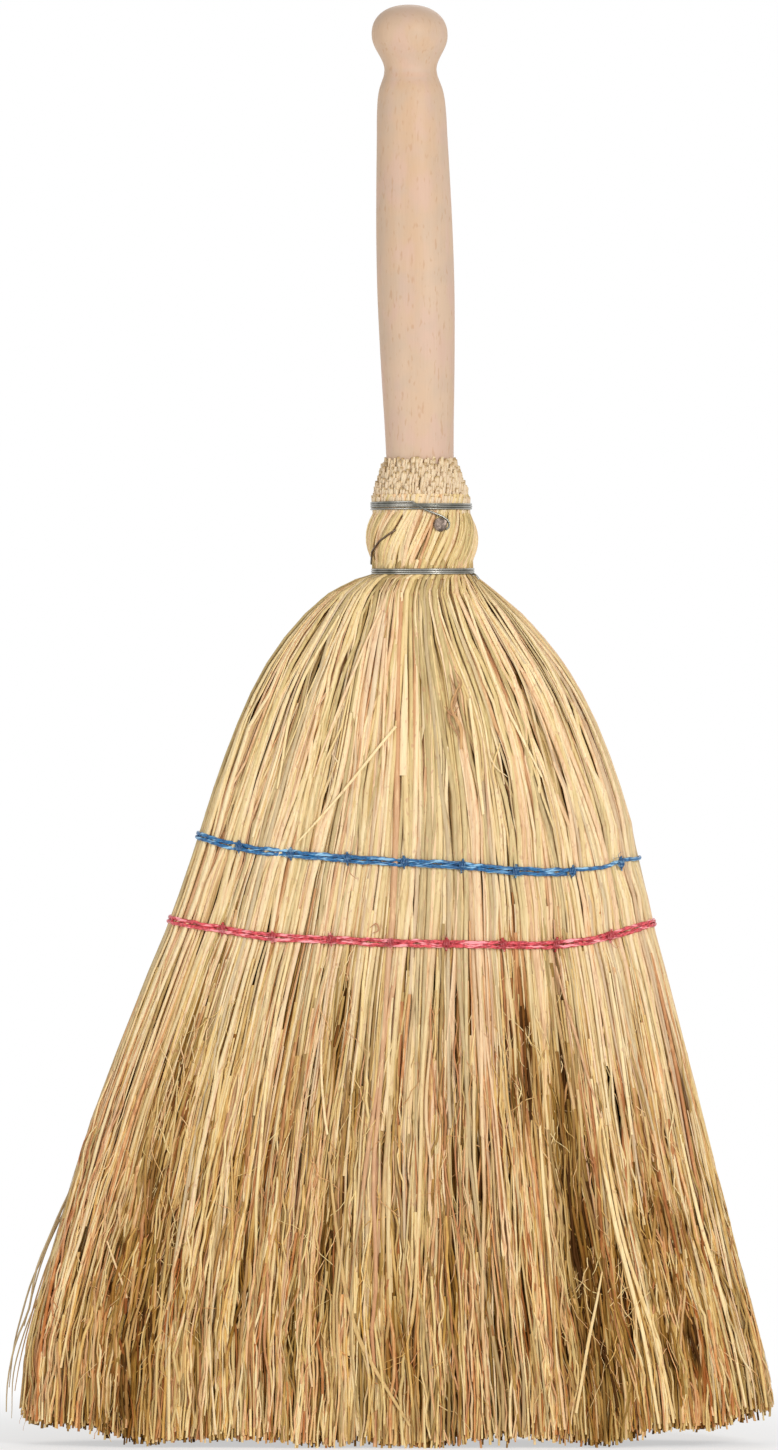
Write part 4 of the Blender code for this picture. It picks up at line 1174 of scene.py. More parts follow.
class Chance:
    """A source of chance with a fixed seed, which draws one number for each straw."""

    def __init__(self, seed: int, straws: int = 1) -> None:
        """Start from a seed."""
        self.draw = np.random.default_rng(seed)
        self.straws = straws

    def share(self) -> Array:
        """Draw from 0 to 1."""
        return self.draw.random((self.straws, 1))

    def between(self, low: float, high: float) -> Array:
        """Draw evenly between two numbers."""
        return self.draw.uniform(low, high, (self.straws, 1))

    def around(self, spread: float) -> Array:
        """Draw from a bell curve round 0."""
        return self.draw.normal(0, spread, (self.straws, 1))

    def some(self, odds: float, low: float, high: float) -> Array:
        """Draw between two numbers for a share of the straws, and give the others 0."""
        return np.where(self.share() < odds, self.between(low, high), 0)

    def layers(
        self, counts: Sequence[int], jitter: float, offset: Callable[[int], Array]
    ) -> tuple[Array, Array, Array]:
        """Share straws out round the head, layer by layer, and draw for that many from then on.

        Args:
            counts: straws in each layer, the outermost first.
            jitter: how far a straw stands off its even place at most, in steps.
            offset: draws the straws' own offsets in depth, given their count.

        Returns:
            Way round, layer and offset of each straw.
        """
        ways, layers, offsets = [], [], []
        for layer, count in enumerate(counts):
            ways.append((np.arange(count) + self.draw.uniform(-jitter, jitter, count)) / count)
            offsets.append(offset(count))
            layers.append(np.full(count, float(layer)))
        self.straws = sum(counts)
        way, rank, off = (np.concatenate(part)[:, None] for part in (ways, layers, offsets))
        return way, rank, off

    def numbers(self, **numbers: Any) -> dict[str, Array]:
        """Fill in the numbers that every straw carries.

        Args:
            numbers: those that are set, one for each straw or each point.

        Returns:
            All of them, ready for Guides.
        """
        full = {
            "girth": 0.5, "tone": self.share(), "golden": 0, "stain": 0, "pale": 0,
            "grey": 0, "shade": 0, "loose": 0, "lot": self.share(),
        }
        full.update(numbers)
        full["girth"] = np.asarray(full["girth"]) * MM
        return {label: np.asarray(values, float) for label, values in full.items()}

    def clump_tone(self, way: Array, each: float, waves: int = 5) -> Array:
        """Give each straw a tint near its clump's one, which a few sine waves round the head set.

        Args:
            way: way round of each straw.
            each: how far a straw's tint is from its clump's one.
            waves: how many sine waves are summed.

        Returns:
            The tints, from 0 to 1.
        """
        total = np.zeros_like(way)
        for _ in range(waves):
            total += np.sin(math.tau * way * self.draw.integers(3, 40) + self.draw.random() * math.tau)
        return unit(0.47 + 0.14 * (total / math.sqrt(waves)) + self.draw.normal(0, each, way.shape))

    def reds(self, height: Array, odds: float) -> Array:
        """Stain a few straws red-brown along part of their length.

        Args:
            height: height of each point.
            odds: share of the straws that have a stain.

        Returns:
            How stained each point is, from 0 to 1.
        """
        centre, reach = self.between(20, 300), self.between(6, 28)
        strength = self.some(odds, 0.3, 1) * (0.45 + 0.55 * smoothstep(220, 150, height))
        return strength * np.exp(-((height - centre) / reach) ** 2)


@dataclass
class StrawHead:
    """The straws: trimmed butts, the bound bulge, the fanned stems and the fine fibres."""

    shape: HeadShape
    tree: StrawTree
    finish: bpy.types.Material
    inner_finish: bpy.types.Material
    seed: int = 11
    butt_layers: int = 8
    butt_radius: float = 17.35
    butt_step: float = 0.72
    butt_spacing: float = 1.02
    butt_foot: float = 333.5
    bulge_layers: tuple[int, ...] = (100, 100, 90)
    stem_layers: tuple[int, ...] = (250, 290, 280, 240)
    strip_count: int = 300
    kinked_count: int = 560
    fibre_count: int = 2000
    inner_count: int = 1700
    hair_count: int = 1100
    clumps: float = 66.0
    band_radius: float = 17.9
    behind_band: tuple[float, ...] = (318.0, 315.6, 312.9)
    fan_top: float = 311.2
    bow_top: float = 316.0
    bow_length: float = 106.0
    half_depth: float = 0.0265
    depth_play: float = 0.0018
    width_play: float = 0.0006
    spread_top: float = 0.290

    @staticmethod
    def _eased(value: Array, limit: Array | float, play: float) -> Array:
        """Let the size of numbers pass a limit by less than the play.

        Args:
            value: the numbers.
            limit: the size from which they are eased.
            play: how far they may pass it at most.

        Returns:
            The eased numbers.
        """
        beyond = np.maximum(np.abs(value) - limit, 0)
        eased = np.minimum(np.abs(value), limit) + play * (1 - np.exp(-beyond / play))
        return np.sign(value) * eased

    def _keep_in_reach(self, piece: bpy.types.Object, sides: bool) -> None:
        """Lift vertices out of the floor and ease in those that stand far out of the head.

        Args:
            piece: the piece, in metres.
            sides: whether its left and right sides stay within the outline too.
        """
        places = np.empty(len(piece.data.vertices) * 3, np.float32)
        piece.data.vertices.foreach_get("co", places)
        places = places.reshape(-1, 3)
        places[:, 2] = np.maximum(places[:, 2], 0)
        places[:, 1] = self._eased(places[:, 1], self.half_depth, self.depth_play)
        if sides:
            low = places[:, 2] < self.spread_top
            middle, width, _, _ = self.shape.section(places[low, 2] / MM)
            across = places[low, 0] - middle * MM
            places[low, 0] = middle * MM + self._eased(across, width * MM, self.width_play)
        piece.data.vertices.foreach_set("co", places.reshape(-1))
        piece.data.update()

    def _piece(
        self, name: str, guides: Guides, sides: int = 4, wander: tuple[float, float] = (0.0, 0.05),
        crinkle: tuple[float, float] = (0.0, 0.012), thickness: float = 1.0, nodes: Iterable[str] = (),
    ) -> None:
        """Grow a piece of straws, keep it in reach and tell the frame of it.

        Args:
            name: the piece's name.
            guides: a line for each straw.
            sides: how many sides a straw has.
            wander: how far straws stray in long bends, and the bends' size, in metres.
            crinkle: the same for short bends.
            thickness: how thick a straw is for its width.
            nodes: CAD nodes that the piece stands for.
        """
        inner = "core_bundle" in nodes
        sizes = {
            "Sides": sides, "Wander": wander[0], "Wander Size": wander[1], "Crinkle": crinkle[0],
            "Crinkle Size": crinkle[1], "Thickness": thickness,
            "Finish": self.inner_finish if inner else self.finish,
        }
        piece = self.tree.grow(name, guides.mesh(name), sizes)
        self._keep_in_reach(piece, name != "stray_straws")
        settle(piece, nodes)

    def build(self) -> None:
        """Build every piece of straw."""
        self.collar()
        self.bulge()
        self.stems()
        self.leaf_strips()
        for lay in (self.kinked, self.fibres):
            for number, side in enumerate(("front", "back")):
                lay(number, side)
        self.inner_bundle()
        self.loose_hair()
        self.strays()

    def collar(self) -> None:
        """Stand the trimmed butts above the upper wire band, cut to a cone."""
        chance = Chance(self.seed)
        radii = [self.butt_radius - self.butt_step * layer for layer in range(self.butt_layers)]
        counts = [round(math.tau * radius / self.butt_spacing) for radius in radii]
        way, layer, off = chance.layers(counts, 0.35, lambda count: chance.draw.normal(0, 0.16, count))
        radius = self.butt_radius - self.butt_step * layer + off
        cone = np.interp(-(radius + 0.5), [-17.9, -17.2, -13.4, -12.9], [340.6, 343, 353.6, 354.4])
        top = np.clip(cone + chance.around(0.7), 340.4, 355)
        height = blend(self.butt_foot, top, np.array([0, 0.35, 0.7, 0.93, 1]))
        slant = math.radians(9) + chance.around(0.07)
        slanted = (height - self.shape.twist_top) * np.tan(slant) / radius
        wound = way * math.tau + self.shape.twist * 0.8 + slanted
        seat = np.interp(height, [self.butt_foot, 339.5, 345], [0.55, 0.35, 0])
        points = self.shape.neck_point(wound, radius - seat, height)
        girth = chance.between(0.46, 0.74) * np.array([1, 1, 1, 0.99, 0.90])
        # Painted shade: some straws' cut ends are darkened, where the hollow straw is dark inside.
        shade = np.where(chance.share() < 0.4, 0.45, 0.08) * np.array([0, 0, 0, 0, 1])
        tone = unit(0.50 + chance.around(0.16))
        numbers = chance.numbers(girth=girth, shade=shade, tone=tone, pale=1.5)
        self._piece("collar_butts", Guides(points * MM, numbers), sides=6)

    def bulge(self) -> None:
        """Wind the bound straws through the bulge between the two wire bands."""
        chance = Chance(self.seed + 1)
        layers = self.bulge_layers
        way, layer, off = chance.layers(layers, 0.38, lambda count: chance.draw.normal(0, 0.16, count))
        turn, inset = way * math.tau, 0.68 + 0.75 * layer + off
        height = np.linspace(341.5, 311, 15) + np.zeros_like(turn)
        foot, top = self.shape.foot, self.shape.twist_top
        twist = 1.3 * self.shape.twist * (height - foot) / (top - foot)
        radius = smooth_table(self.shape.neck, height) - inset
        bulging = np.sin(unit((336 - height) / 20) * math.pi)
        radius = radius + bulging * chance.around(0.25)
        turned = turn + twist + chance.around(0.05) * (height - 326) / 12
        points = self.shape.neck_point(turned, radius, height)
        facing = points - self.shape.neck_point(turned, radius - 1, height)
        girth = chance.between(0.45, 0.92) * (0.84 + 0.16 * bulging)
        stain = chance.some(0.3, 0.1, 0.6)
        tone = unit(0.48 + chance.around(0.26))
        # Painted shade on the deeper layers.
        shade = np.where(inset > 1.1, 0.22, 0) + 0.05
        numbers = chance.numbers(girth=girth, stain=stain, tone=tone, shade=shade, loose=bulging, pale=0.3)
        guides = Guides(points * MM, numbers, facing)
        self._piece("bulge_straws", guides, sides=8, wander=(0.0002, 0.02), thickness=0.8)

    def _cut_height(self, way: Array, level: float, depth: Array | float = 0.0) -> Array:
        """Height at which straws that end at ways round the head are cut."""
        return self.shape.tip_height(self.shape.surface(way, np.full_like(way, level), depth)[..., 0])

    def _lines(self, chance: Chance, way: Array, rank: Array, height: Array, spread: float) -> Array:
        """Lead lines from the neck's foot down over the head, crossing a little on their way.

        Args:
            chance: source of chance.
            way: way round of each line at the neck.
            rank: layer of each line, 0 outermost.
            height: height of each of its points.
            spread: how far a line drifts round the head on its way, as a share of the way round.

        Returns:
            The points, with x, y and z last.
        """
        cross = chance.around(spread)
        cross = cross + np.where(chance.share() < 0.10, chance.around(3 * spread), 0)
        way = np.mod(way, 1)
        middle = np.where(way < 0.5, 0.25, 0.75)
        inner = unit(1.2 * (1 - (np.abs(way - middle) / 0.25) ** 2))
        straight = inner * chance.between(0.35, 1) * smooth_table(CHORDS, height)
        way = middle + (way - middle) * (1 - straight)
        top = self.behind_band[0]
        down = unit((top - height) / top)
        clump = (np.floor(np.mod(way, 1) * self.clumps) + self.clumps * np.round(rank)).astype(int)
        swing, lifted = (chance.draw.normal(0, reach, 900)[clump] for reach in (1, 0.3))
        cross = cross + 0.009 * swing
        bowed = np.sin(unit((self.bow_top - height) / self.bow_length) * math.pi)
        bow = bowed * (chance.around(0.0028) + 0.0042 * swing)
        drift = bow + cross * (down ** 0.8 - 0.35) + chance.around(0.008) * smoothstep(190, 0, height)
        inset = 0.62 + rank * blend(2.1, 0.7, smoothstep(312, 250, height))
        inset = inset + rank * 0.35 * smoothstep(170, 60, height)
        relief = 0.18 + 0.42 * smoothstep(180, 60, height)
        inset = inset + relief * chance.around(1) * smoothstep(300, 150, height)
        amount, dark = self.shape.tangled(self.shape.surface(way + drift, height, 0))
        inset = inset + lifted * smoothstep(310, 285, height)
        sunk = chance.share() < 0.5
        inset = np.maximum(inset, 0.35) + 1.6 * amount * sunk + 4 * dark
        points = self.shape.sewn(way + drift, height, inset)
        foot = self.shape.foot
        risen = (height - foot) / (self.shape.twist_top - foot)
        azimuth = math.pi + math.tau * way + self.shape.twist * risen
        neck = self.shape.neck_point(azimuth, self.band_radius - inset, height)
        return np.where((height > foot)[..., None], neck, points)

    def stems(self) -> None:
        """Fan the outer stems from the lower band over the whole head, in four layers."""
        chance = Chance(self.seed + 2)
        layers = self.stem_layers
        way, layer, off = chance.layers(layers, 0.5, lambda count: chance.draw.uniform(-0.35, 0.35, count))
        rank = layer + off
        short = chance.share() < 0.30
        end = np.where(short, chance.between(15, 150), 0)
        end = np.maximum(end, self._cut_height(way, 5) + chance.between(0, 5) ** 1.3 * 0.6)
        bound = np.broadcast_to(np.array(self.behind_band), (len(way), len(self.behind_band)))
        free = blend(self.fan_top, end, even_steps(24) ** 1.3)
        height = np.concatenate([bound, free], axis=1)
        points = self._lines(chance, way, rank, height, 0.013)
        facing = points - self.shape.middle(height)
        amount, dark = self.shape.tangled(points)
        lower = smoothstep(300, 150, height)
        girth = (0.42 + 0.56 * chance.share() ** 1.3) * (1 - 0.22 * smoothstep(230, 10, height))
        packed = smoothstep(155, 185, height) * smoothstep(260, 225, height)
        wide = 1.5 * (chance.share() < 0.3) - 1
        girth = girth * (1 + 0.30 * packed)
        girth = girth * (1 + 0.35 * wide * smoothstep(285, 312, height)) * (1 - 0.15 * amount)
        golden = 0.45 * smoothstep(190, 25, height) + chance.around(0.24) * lower + 0.6 * amount
        golden = unit(golden + 0.10 * np.clip(rank, 0, 3) * lower)
        stain = chance.reds(height, 0.14) + 0.35 * amount * chance.share()
        tone = chance.clump_tone(way, 0.27)
        # Painted shade on the deeper layers, in the dark tangles and in the gaps.
        shade = (0.04 + 0.08 * smoothstep(120, 40, height)) * np.clip(rank - 0.5, 0, 3) + 0.6 * dark
        shade = shade + 0.5 * self.shape.gap_shade(points) * np.clip(rank, 0.2, 1)
        # Some lower stems are dark brown of their own.
        browner = 0.36 * (chance.share() < 0.25) * smoothstep(140, 50, height)
        shade = shade + chance.between(0, 0.03) + browner * chance.share()
        # Painted shade on some stems just under the lower band, for the dark wedges between them.
        shade = shade + 0.35 * smoothstep(300, 313, height) * chance.share()
        # Some stems are grey of their own; painted shade adds grey in the dark tangles.
        grey = chance.some(0.10, 0.2, 0.7) + 0.4 * dark
        loose = (0.35 * lower + smoothstep(170, 20, height)) * self.shape.slack(points)
        pale = 0.3 + 0.25 * packed + 0.3 * smoothstep(30, 90, height) * smoothstep(200, 160, height)
        numbers = chance.numbers(
            girth=girth, golden=golden, stain=stain, tone=tone, shade=shade, grey=grey,
            loose=loose, pale=pale,
        )
        guides = Guides(points * MM, numbers, facing)
        front = (np.mod(way, 1) < 0.5)[:, 0]
        for side, chosen in (("front", front), ("back", ~front)):
            nodes = [f"{side}_lock_{number}" for number in range(1, 10)]
            bends = {"wander": (0.0011, 0.045), "crinkle": (0.0002, 0.012)}
            self._piece(f"{side}_stems", guides.part(chosen), sides=6, thickness=0.8, nodes=nodes, **bends)

    def leaf_strips(self) -> None:
        """Lay flat strips of leaf sheath among the outer stems."""
        chance = Chance(self.seed + 5, self.strip_count)
        way = chance.share()
        low = np.arange(self.strip_count)[:, None] % 2 == 1
        bound = self.behind_band[1:]
        top = np.where(chance.share() < 0.6, 316, chance.between(200, 290))
        top = np.where(low, chance.between(110, 215), top)
        length = chance.between(40, 170)
        count = 18
        height = np.maximum(top - length * even_steps(count) ** 1.5, 12)
        down = self.fan_top - length * even_steps(count - len(bound)) ** 1.4
        tied = np.concatenate([np.broadcast_to(np.array(bound), (len(way), len(bound))), down], axis=1)
        height = np.where(top > 315, tied, height)
        rank = chance.between(-0.1, 0.6) + 0.4 * low
        points = self._lines(chance, way, rank, height, 0.014)
        facing = points - self.shape.middle(height) + chance.draw.normal(0, 6, (len(way), 1, 3))
        along = even_steps(count)
        taper = np.minimum(1, 0.25 + 3 * (1 - along)) * (0.7 + 0.3 * smoothstep(0, 0.3, along))
        girth = chance.between(0.6, 1.25) * taper * (1 + 0.35 * low)
        girth = girth * (1 - 0.4 * smoothstep(285, 312, height))
        tone = unit(chance.clump_tone(way, 0.22) + 0.12)
        numbers = chance.numbers(
            girth=girth, golden=0.5 * smoothstep(220, 60, height), stain=chance.reds(height, 0.3) * 0.6,
            tone=tone, loose=0.5 * self.shape.slack(points), pale=0.7, grey=0.3 * (chance.share() < 0.3),
        )
        guides = Guides(points * MM, numbers, facing)
        self._piece("leaf_strips", guides, sides=8, wander=(0.0008, 0.05), thickness=0.22)

    def _scattered(
        self, chance: Chance, first: float, reach: float, heights: tuple[float, float], at: float,
        odds: tuple[float, float], tries: int, count: int,
    ) -> tuple[Array, Array]:
        """Choose places for loose straws, most of them in the tangles, and draw for those from then on.

        Args:
            chance: source of chance.
            first: way round at which they begin.
            reach: how far round they go from there.
            heights: lowest and highest place.
            at: share of the height at which the tangles count.
            odds: odds of a place outside the tangles, and what a full tangle adds.
            tries: how many places are tried.
            count: how many are kept at most.

        Returns:
            Way round and height of each.
        """
        chance.straws = tries
        way, height = first + chance.between(0, reach), chance.between(*heights)
        amount, _ = self.shape.tangled(self.shape.surface(way, height * at, 0))
        kept = np.flatnonzero(chance.draw.random(tries) < odds[0] + odds[1] * amount[:, 0])[:count]
        chance.straws = len(kept)
        return way[kept], height[kept]

    def kinked(self, number: int, side: str) -> None:
        """Lay crinkled straws over one side of the lower head, where nothing binds them any more.

        Args:
            number: 0 for the front, 1 for the back.
            side: the side's name.
        """
        chance = Chance(self.seed + 6 + number)
        count = self.kinked_count
        span = (30, 165)
        way, top = self._scattered(chance, 0.5 * number, 0.5, span, 0.7, (0.3, 0.6), 4 * count, count)
        along = even_steps(28)
        end = self._cut_height(way, 5) + chance.draw.exponential(1.6, way.shape)
        early = np.minimum(end + chance.between(4, 40), top - 25)
        end = np.maximum(np.where(chance.share() < 0.3, early, end), 1)
        height = blend(top, end, along)
        points = self._lines(chance, way, chance.between(-0.6, 0.6), height, 0.012)
        facing = points - self.shape.middle(height)
        amount, dark = self.shape.tangled(points)
        girth = chance.between(0.28, 0.66) * (0.25 + 0.75 * smoothstep(0, 0.16, along))
        golden = unit(0.45 + 0.3 * amount + chance.around(0.25))
        stain = chance.reds(height, 0.36) + 0.4 * amount * chance.share()
        # Some straws are dark of their own; painted shade darkens them in the dark tangles and gaps.
        shade = chance.share() ** 3 * 0.6 + 0.4 * dark + 0.4 * self.shape.gap_shade(points)
        numbers = chance.numbers(
            girth=girth, golden=golden, stain=stain, tone=chance.clump_tone(way, 0.3), shade=shade,
            loose=chance.between(0.5, 1.3), pale=0.25,
        )
        guides = Guides(points * MM, numbers, facing)
        self._piece(f"{side}_kinked_straws", guides, 5, (0.0009, 0.03), (0.0010, 0.010), 0.75)

    def fibres(self, number: int, side: str) -> None:
        """Fill one side of the lower head with fine fibres, thickest in the tangles.

        Args:
            number: 0 for the front, 1 for the back.
            side: the side's name.
        """
        chance = Chance(self.seed + 10 + number)
        count = self.fibre_count
        span = (40, 200)
        way, start = self._scattered(chance, 0.5 * number, 0.5, span, 0.7, (0.22, 0.95), 4 * count, count)
        self._strands(f"{side}_fibres", chance, way, 0.3 + chance.share() * 4.4, start)

    def inner_bundle(self) -> None:
        """Fill the middle of the head, below the tenon, with straws that reach the floor."""
        chance = Chance(self.seed + 20, self.inner_count)
        way, depth = chance.share(), 3.5 + chance.share() * 22
        start = chance.between(90, 300)
        start = np.where(chance.share() < 0.4, chance.between(298, 306), start)
        self._strands("inner_straws", chance, way, depth, start, ("core_bundle",))

    def _strands(
        self, name: str, chance: Chance, way: Array, depth: Array, start: Array, nodes: Iterable[str] = ()
    ) -> None:
        """Lay fibres from a start height down to the cut tips.

        Args:
            name: the piece's name.
            chance: source of chance.
            way: way round of each fibre.
            depth: depth of each fibre under the outside at the floor.
            start: height at which each fibre starts.
            nodes: CAD nodes that they stand for, which makes them inner straws.
        """
        along = even_steps(12)
        uneven = chance.draw.exponential(1.6, way.shape) + np.where(chance.share() < 0.06, 9, 0)
        end = self._cut_height(way, 4, depth) + uneven * chance.share()
        cut_short = chance.share() < 0.25
        end = np.where(cut_short & (start > 90), end + chance.between(10, 60), end)
        height = blend(start, end, along)
        fan = chance.around(0.015) * (smoothstep(0, 1, along) - 0.4) * (start / 200)
        amount, dark = self.shape.tangled(self.shape.surface(way + fan, height, 0))
        inset = 0.30 + depth * (0.45 + 0.55 * along) * (1 - 0.6 * amount)
        if nodes:
            inset = 0.4 + depth * (0.35 + 0.65 * smoothstep(312, 60, height))
        points = self.shape.sewn(way + fan, height, inset + 2.5 * dark)
        girth = chance.between(0.32, 0.78) * (1 - 0.22 * along)
        if nodes:
            girth = chance.between(0.40, 0.75) * (1 - 0.4 * along)
        golden = 0.75 * smoothstep(240, 90, height) + 0.3 * amount + chance.around(0.2)
        stain = chance.reds(height, 0.25) * 0.8 + amount * 0.7 * chance.share() ** 1.5
        tone = chance.clump_tone(way, 0.32)
        # Painted shade deepens with depth under the outside and in the dark tangles and gaps; some fibres
        # are dark of their own.
        shade = np.clip(0.052 * depth ** 2, 0, 0.75) + 0.5 * dark + 0.75 * self.shape.gap_shade(points)
        shade = shade + chance.share() ** 2 * (0.08 + 0.5 * amount)
        loose = 0.3 + smoothstep(180, 20, height) * chance.between(0.2, 1) + 0.9 * amount
        # Painted shade also greys the fibres in the dark tangles.
        numbers = chance.numbers(
            girth=girth, golden=unit(golden), stain=stain, tone=tone, shade=shade, loose=loose,
            grey=0.3 * dark, pale=0.2 * smoothstep(55, 105, height) * (0 if nodes else 1),
        )
        guides = Guides(points * MM, numbers)
        self._piece(name, guides, wander=(0.0013, 0.035), crinkle=(0.0005, 0.010), nodes=nodes)

    def loose_hair(self) -> None:
        """Scatter thin curly fibres over the lower head, most of them at the tangles."""
        chance = Chance(self.seed + 30)
        span = (15, 175)
        way, middle = self._scattered(chance, 0, 1, span, 1, (0.10, 0.9), 6000, self.hair_count)
        along = np.linspace(-0.5, 0.5, 14)
        height = np.maximum(middle + along * chance.between(8, 40), 3)
        lean = chance.around(0.014) * along * 2
        edge = np.abs(np.mod(way, 0.5) - 0.25) > 0.225
        deep = chance.between(0.2, 1.6) + 2.5 * edge * smoothstep(60, 130, middle)
        points = self.shape.surface(way + lean, height, deep)
        numbers = chance.numbers(
            girth=chance.between(0.11, 0.27) * (1 - np.abs(along)), golden=smoothstep(220, 80, height),
            stain=chance.some(0.45, 0.2, 0.9), tone=chance.between(0.15, 0.85), loose=1,
        )
        self._piece("loose_hair", Guides(points * MM, numbers), 3, (0.0014, 0.012), (0.0006, 0.004))

    def strays(self) -> None:
        """Lay the single straws, stubs and splinters that lie across the others in front."""
        along = even_steps(20)
        paths, girths = [], []
        for stray in STRAYS:
            rows = np.array(stray.line, float)
            lengths = travelled(rows)
            table = np.column_stack([lengths / lengths[-1], rows])
            x, z = smooth_table(table, along, 1), smooth_table(table, along, 2)
            middle, width, depth, exponent = self.shape.section(z)
            across = np.clip(np.abs((x - middle) / width), 0, 0.999)
            y = -(depth * (1 - across ** exponent) ** (1 / exponent) + stray.lift)
            paths.append(joined(x, y, z))
            girths.append(np.interp(along, even_steps(len(stray.widths)), stray.widths))
        points = np.array(paths)
        looks = np.array([(stray.tone, stray.golden, stray.stain, stray.grey) for stray in STRAYS])
        tone, golden, stain, grey = looks.T[:, :, None]
        numbers = Chance(self.seed + 40, len(paths)).numbers(
            girth=np.array(girths), tone=tone, golden=golden, stain=stain, grey=grey, loose=0.25, pale=0.3,
        )
        facing = np.zeros_like(points) + np.array([0, -1, 0])
        guides = Guides(points * MM, numbers, facing)
        self._piece("stray_straws", guides, sides=8, wander=(0.0008, 0.02), thickness=0.45)


# Handle, wire and nail


def ring_faces(count: int, steps: int, first: int = 0) -> list[tuple[int, ...]]:
    """Join rings of vertices, each to the next, with faces.

    Args:
        count: how many rings there are.
        steps: vertices in a ring.
        first: the first ring's first vertex.

    Returns:
        The faces.
    """
    faces = []
    for ring in range(count - 1):
        for step in range(steps):
            a, b = (first + ring * steps + place % steps for place in (step, step + 1))
            faces.append((a, a + steps, b + steps, b))
    return faces


def lathe(name: str, rings: Array, finish: bpy.types.Material) -> bpy.types.Object:
    """Close a stack of rings, and the point at each end of it, into one solid.

    Args:
        name: the piece's name.
        rings: points in metres, as ring, place round it and x, y, z; the top ring first.
        finish: its material.

    Returns:
        The piece.
    """
    count, steps = rings.shape[:2]
    vertices = [*rings.reshape(-1, 3), rings[0].mean(axis=0), rings[-1].mean(axis=0)]
    faces = ring_faces(count, steps)
    top, foot, last = count * steps, count * steps + 1, (count - 1) * steps
    for step in range(steps):
        after = (step + 1) % steps
        faces.append((top, step, after))
        faces.append((foot, last + after, last + step))
    mesh = bpy.data.meshes.new(name)
    mesh.from_pydata(vertices, [], faces)
    mesh.validate()
    mesh.shade_smooth()
    mesh.materials.append(finish)
    return placed(name, mesh)


@dataclass
class TurnedHandle:
    """The turned beech handle: knob, waist, grip and the tenon that goes into the straw."""

    shape: HeadShape
    finish: bpy.types.Material
    knob_top: float = 518.0
    knob_middle: float = 507.2
    knob_radius: float = 13.7
    waist: float = 494.5
    waist_radius: float = 9.4
    grip: tuple[tuple[float, float], ...] = (
        (354.4, 12.1), (367, 12.45), (379.6, 12.95), (396.5, 13.5), (413.8, 13.88), (433.3, 13.8),
        (455, 13.25), (470, 12.75), (480.1, 12.4), (485, 11.95), (488, 11.3), (490.5, 10.4),
        (492.5, 9.7), (494.5, 9.4),
    )
    tenon_end: float = 290.2
    tenon_radius: float = 7.0
    chamfer: float = 0.8
    ripple: float = 0.0016
    steps: int = 96

    def profile(self) -> Array:
        """Radius and height, from the knob's top down to the tenon's end.

        Returns:
            Rows of radius and height.
        """
        rows = []
        for share in np.linspace(0.04, 1, 22):
            angle = math.pi / 2 * (1 - share)
            rise = self.knob_top - self.knob_middle
            radius = self.knob_radius * math.cos(angle) ** 0.9
            rows.append((radius, self.knob_middle + rise * math.sin(angle) ** 0.9))
        for share in even_steps(22)[1:]:
            narrow = (1 - math.cos(math.pi * share ** 1.08)) / 2
            radius = blend(self.knob_radius, self.waist_radius, narrow)
            rows.append((radius, blend(self.knob_middle, self.waist, share)))
        foot, thick = self.grip[0]
        heights = np.concatenate([np.linspace(494, 486, 17), np.linspace(484, foot, 66)])
        rows += list(zip(smooth_table(self.grip, heights), heights))
        for share in even_steps(14)[1:]:
            height = blend(foot, self.tenon_end + self.chamfer, share)
            rows.append((blend(thick, self.tenon_radius, share), height))
        rows.append((self.tenon_radius - self.chamfer, self.tenon_end))
        return np.array(rows)

    def build(self) -> None:
        """Turn the handle and lean it a little to the left."""
        rows = self.profile()
        azimuth = np.linspace(0, math.tau, self.steps, endpoint=False)[None, :]
        radius, height = rows[:, 0][:, None], rows[:, 1][:, None]
        radius = radius * (1 + self.ripple * np.sin(2 * azimuth + height * 0.02))
        points = self.shape.neck_point(azimuth, radius, height)
        piece = lathe("turned_handle", points * MM, self.finish)
        settle(piece, ("handle",))


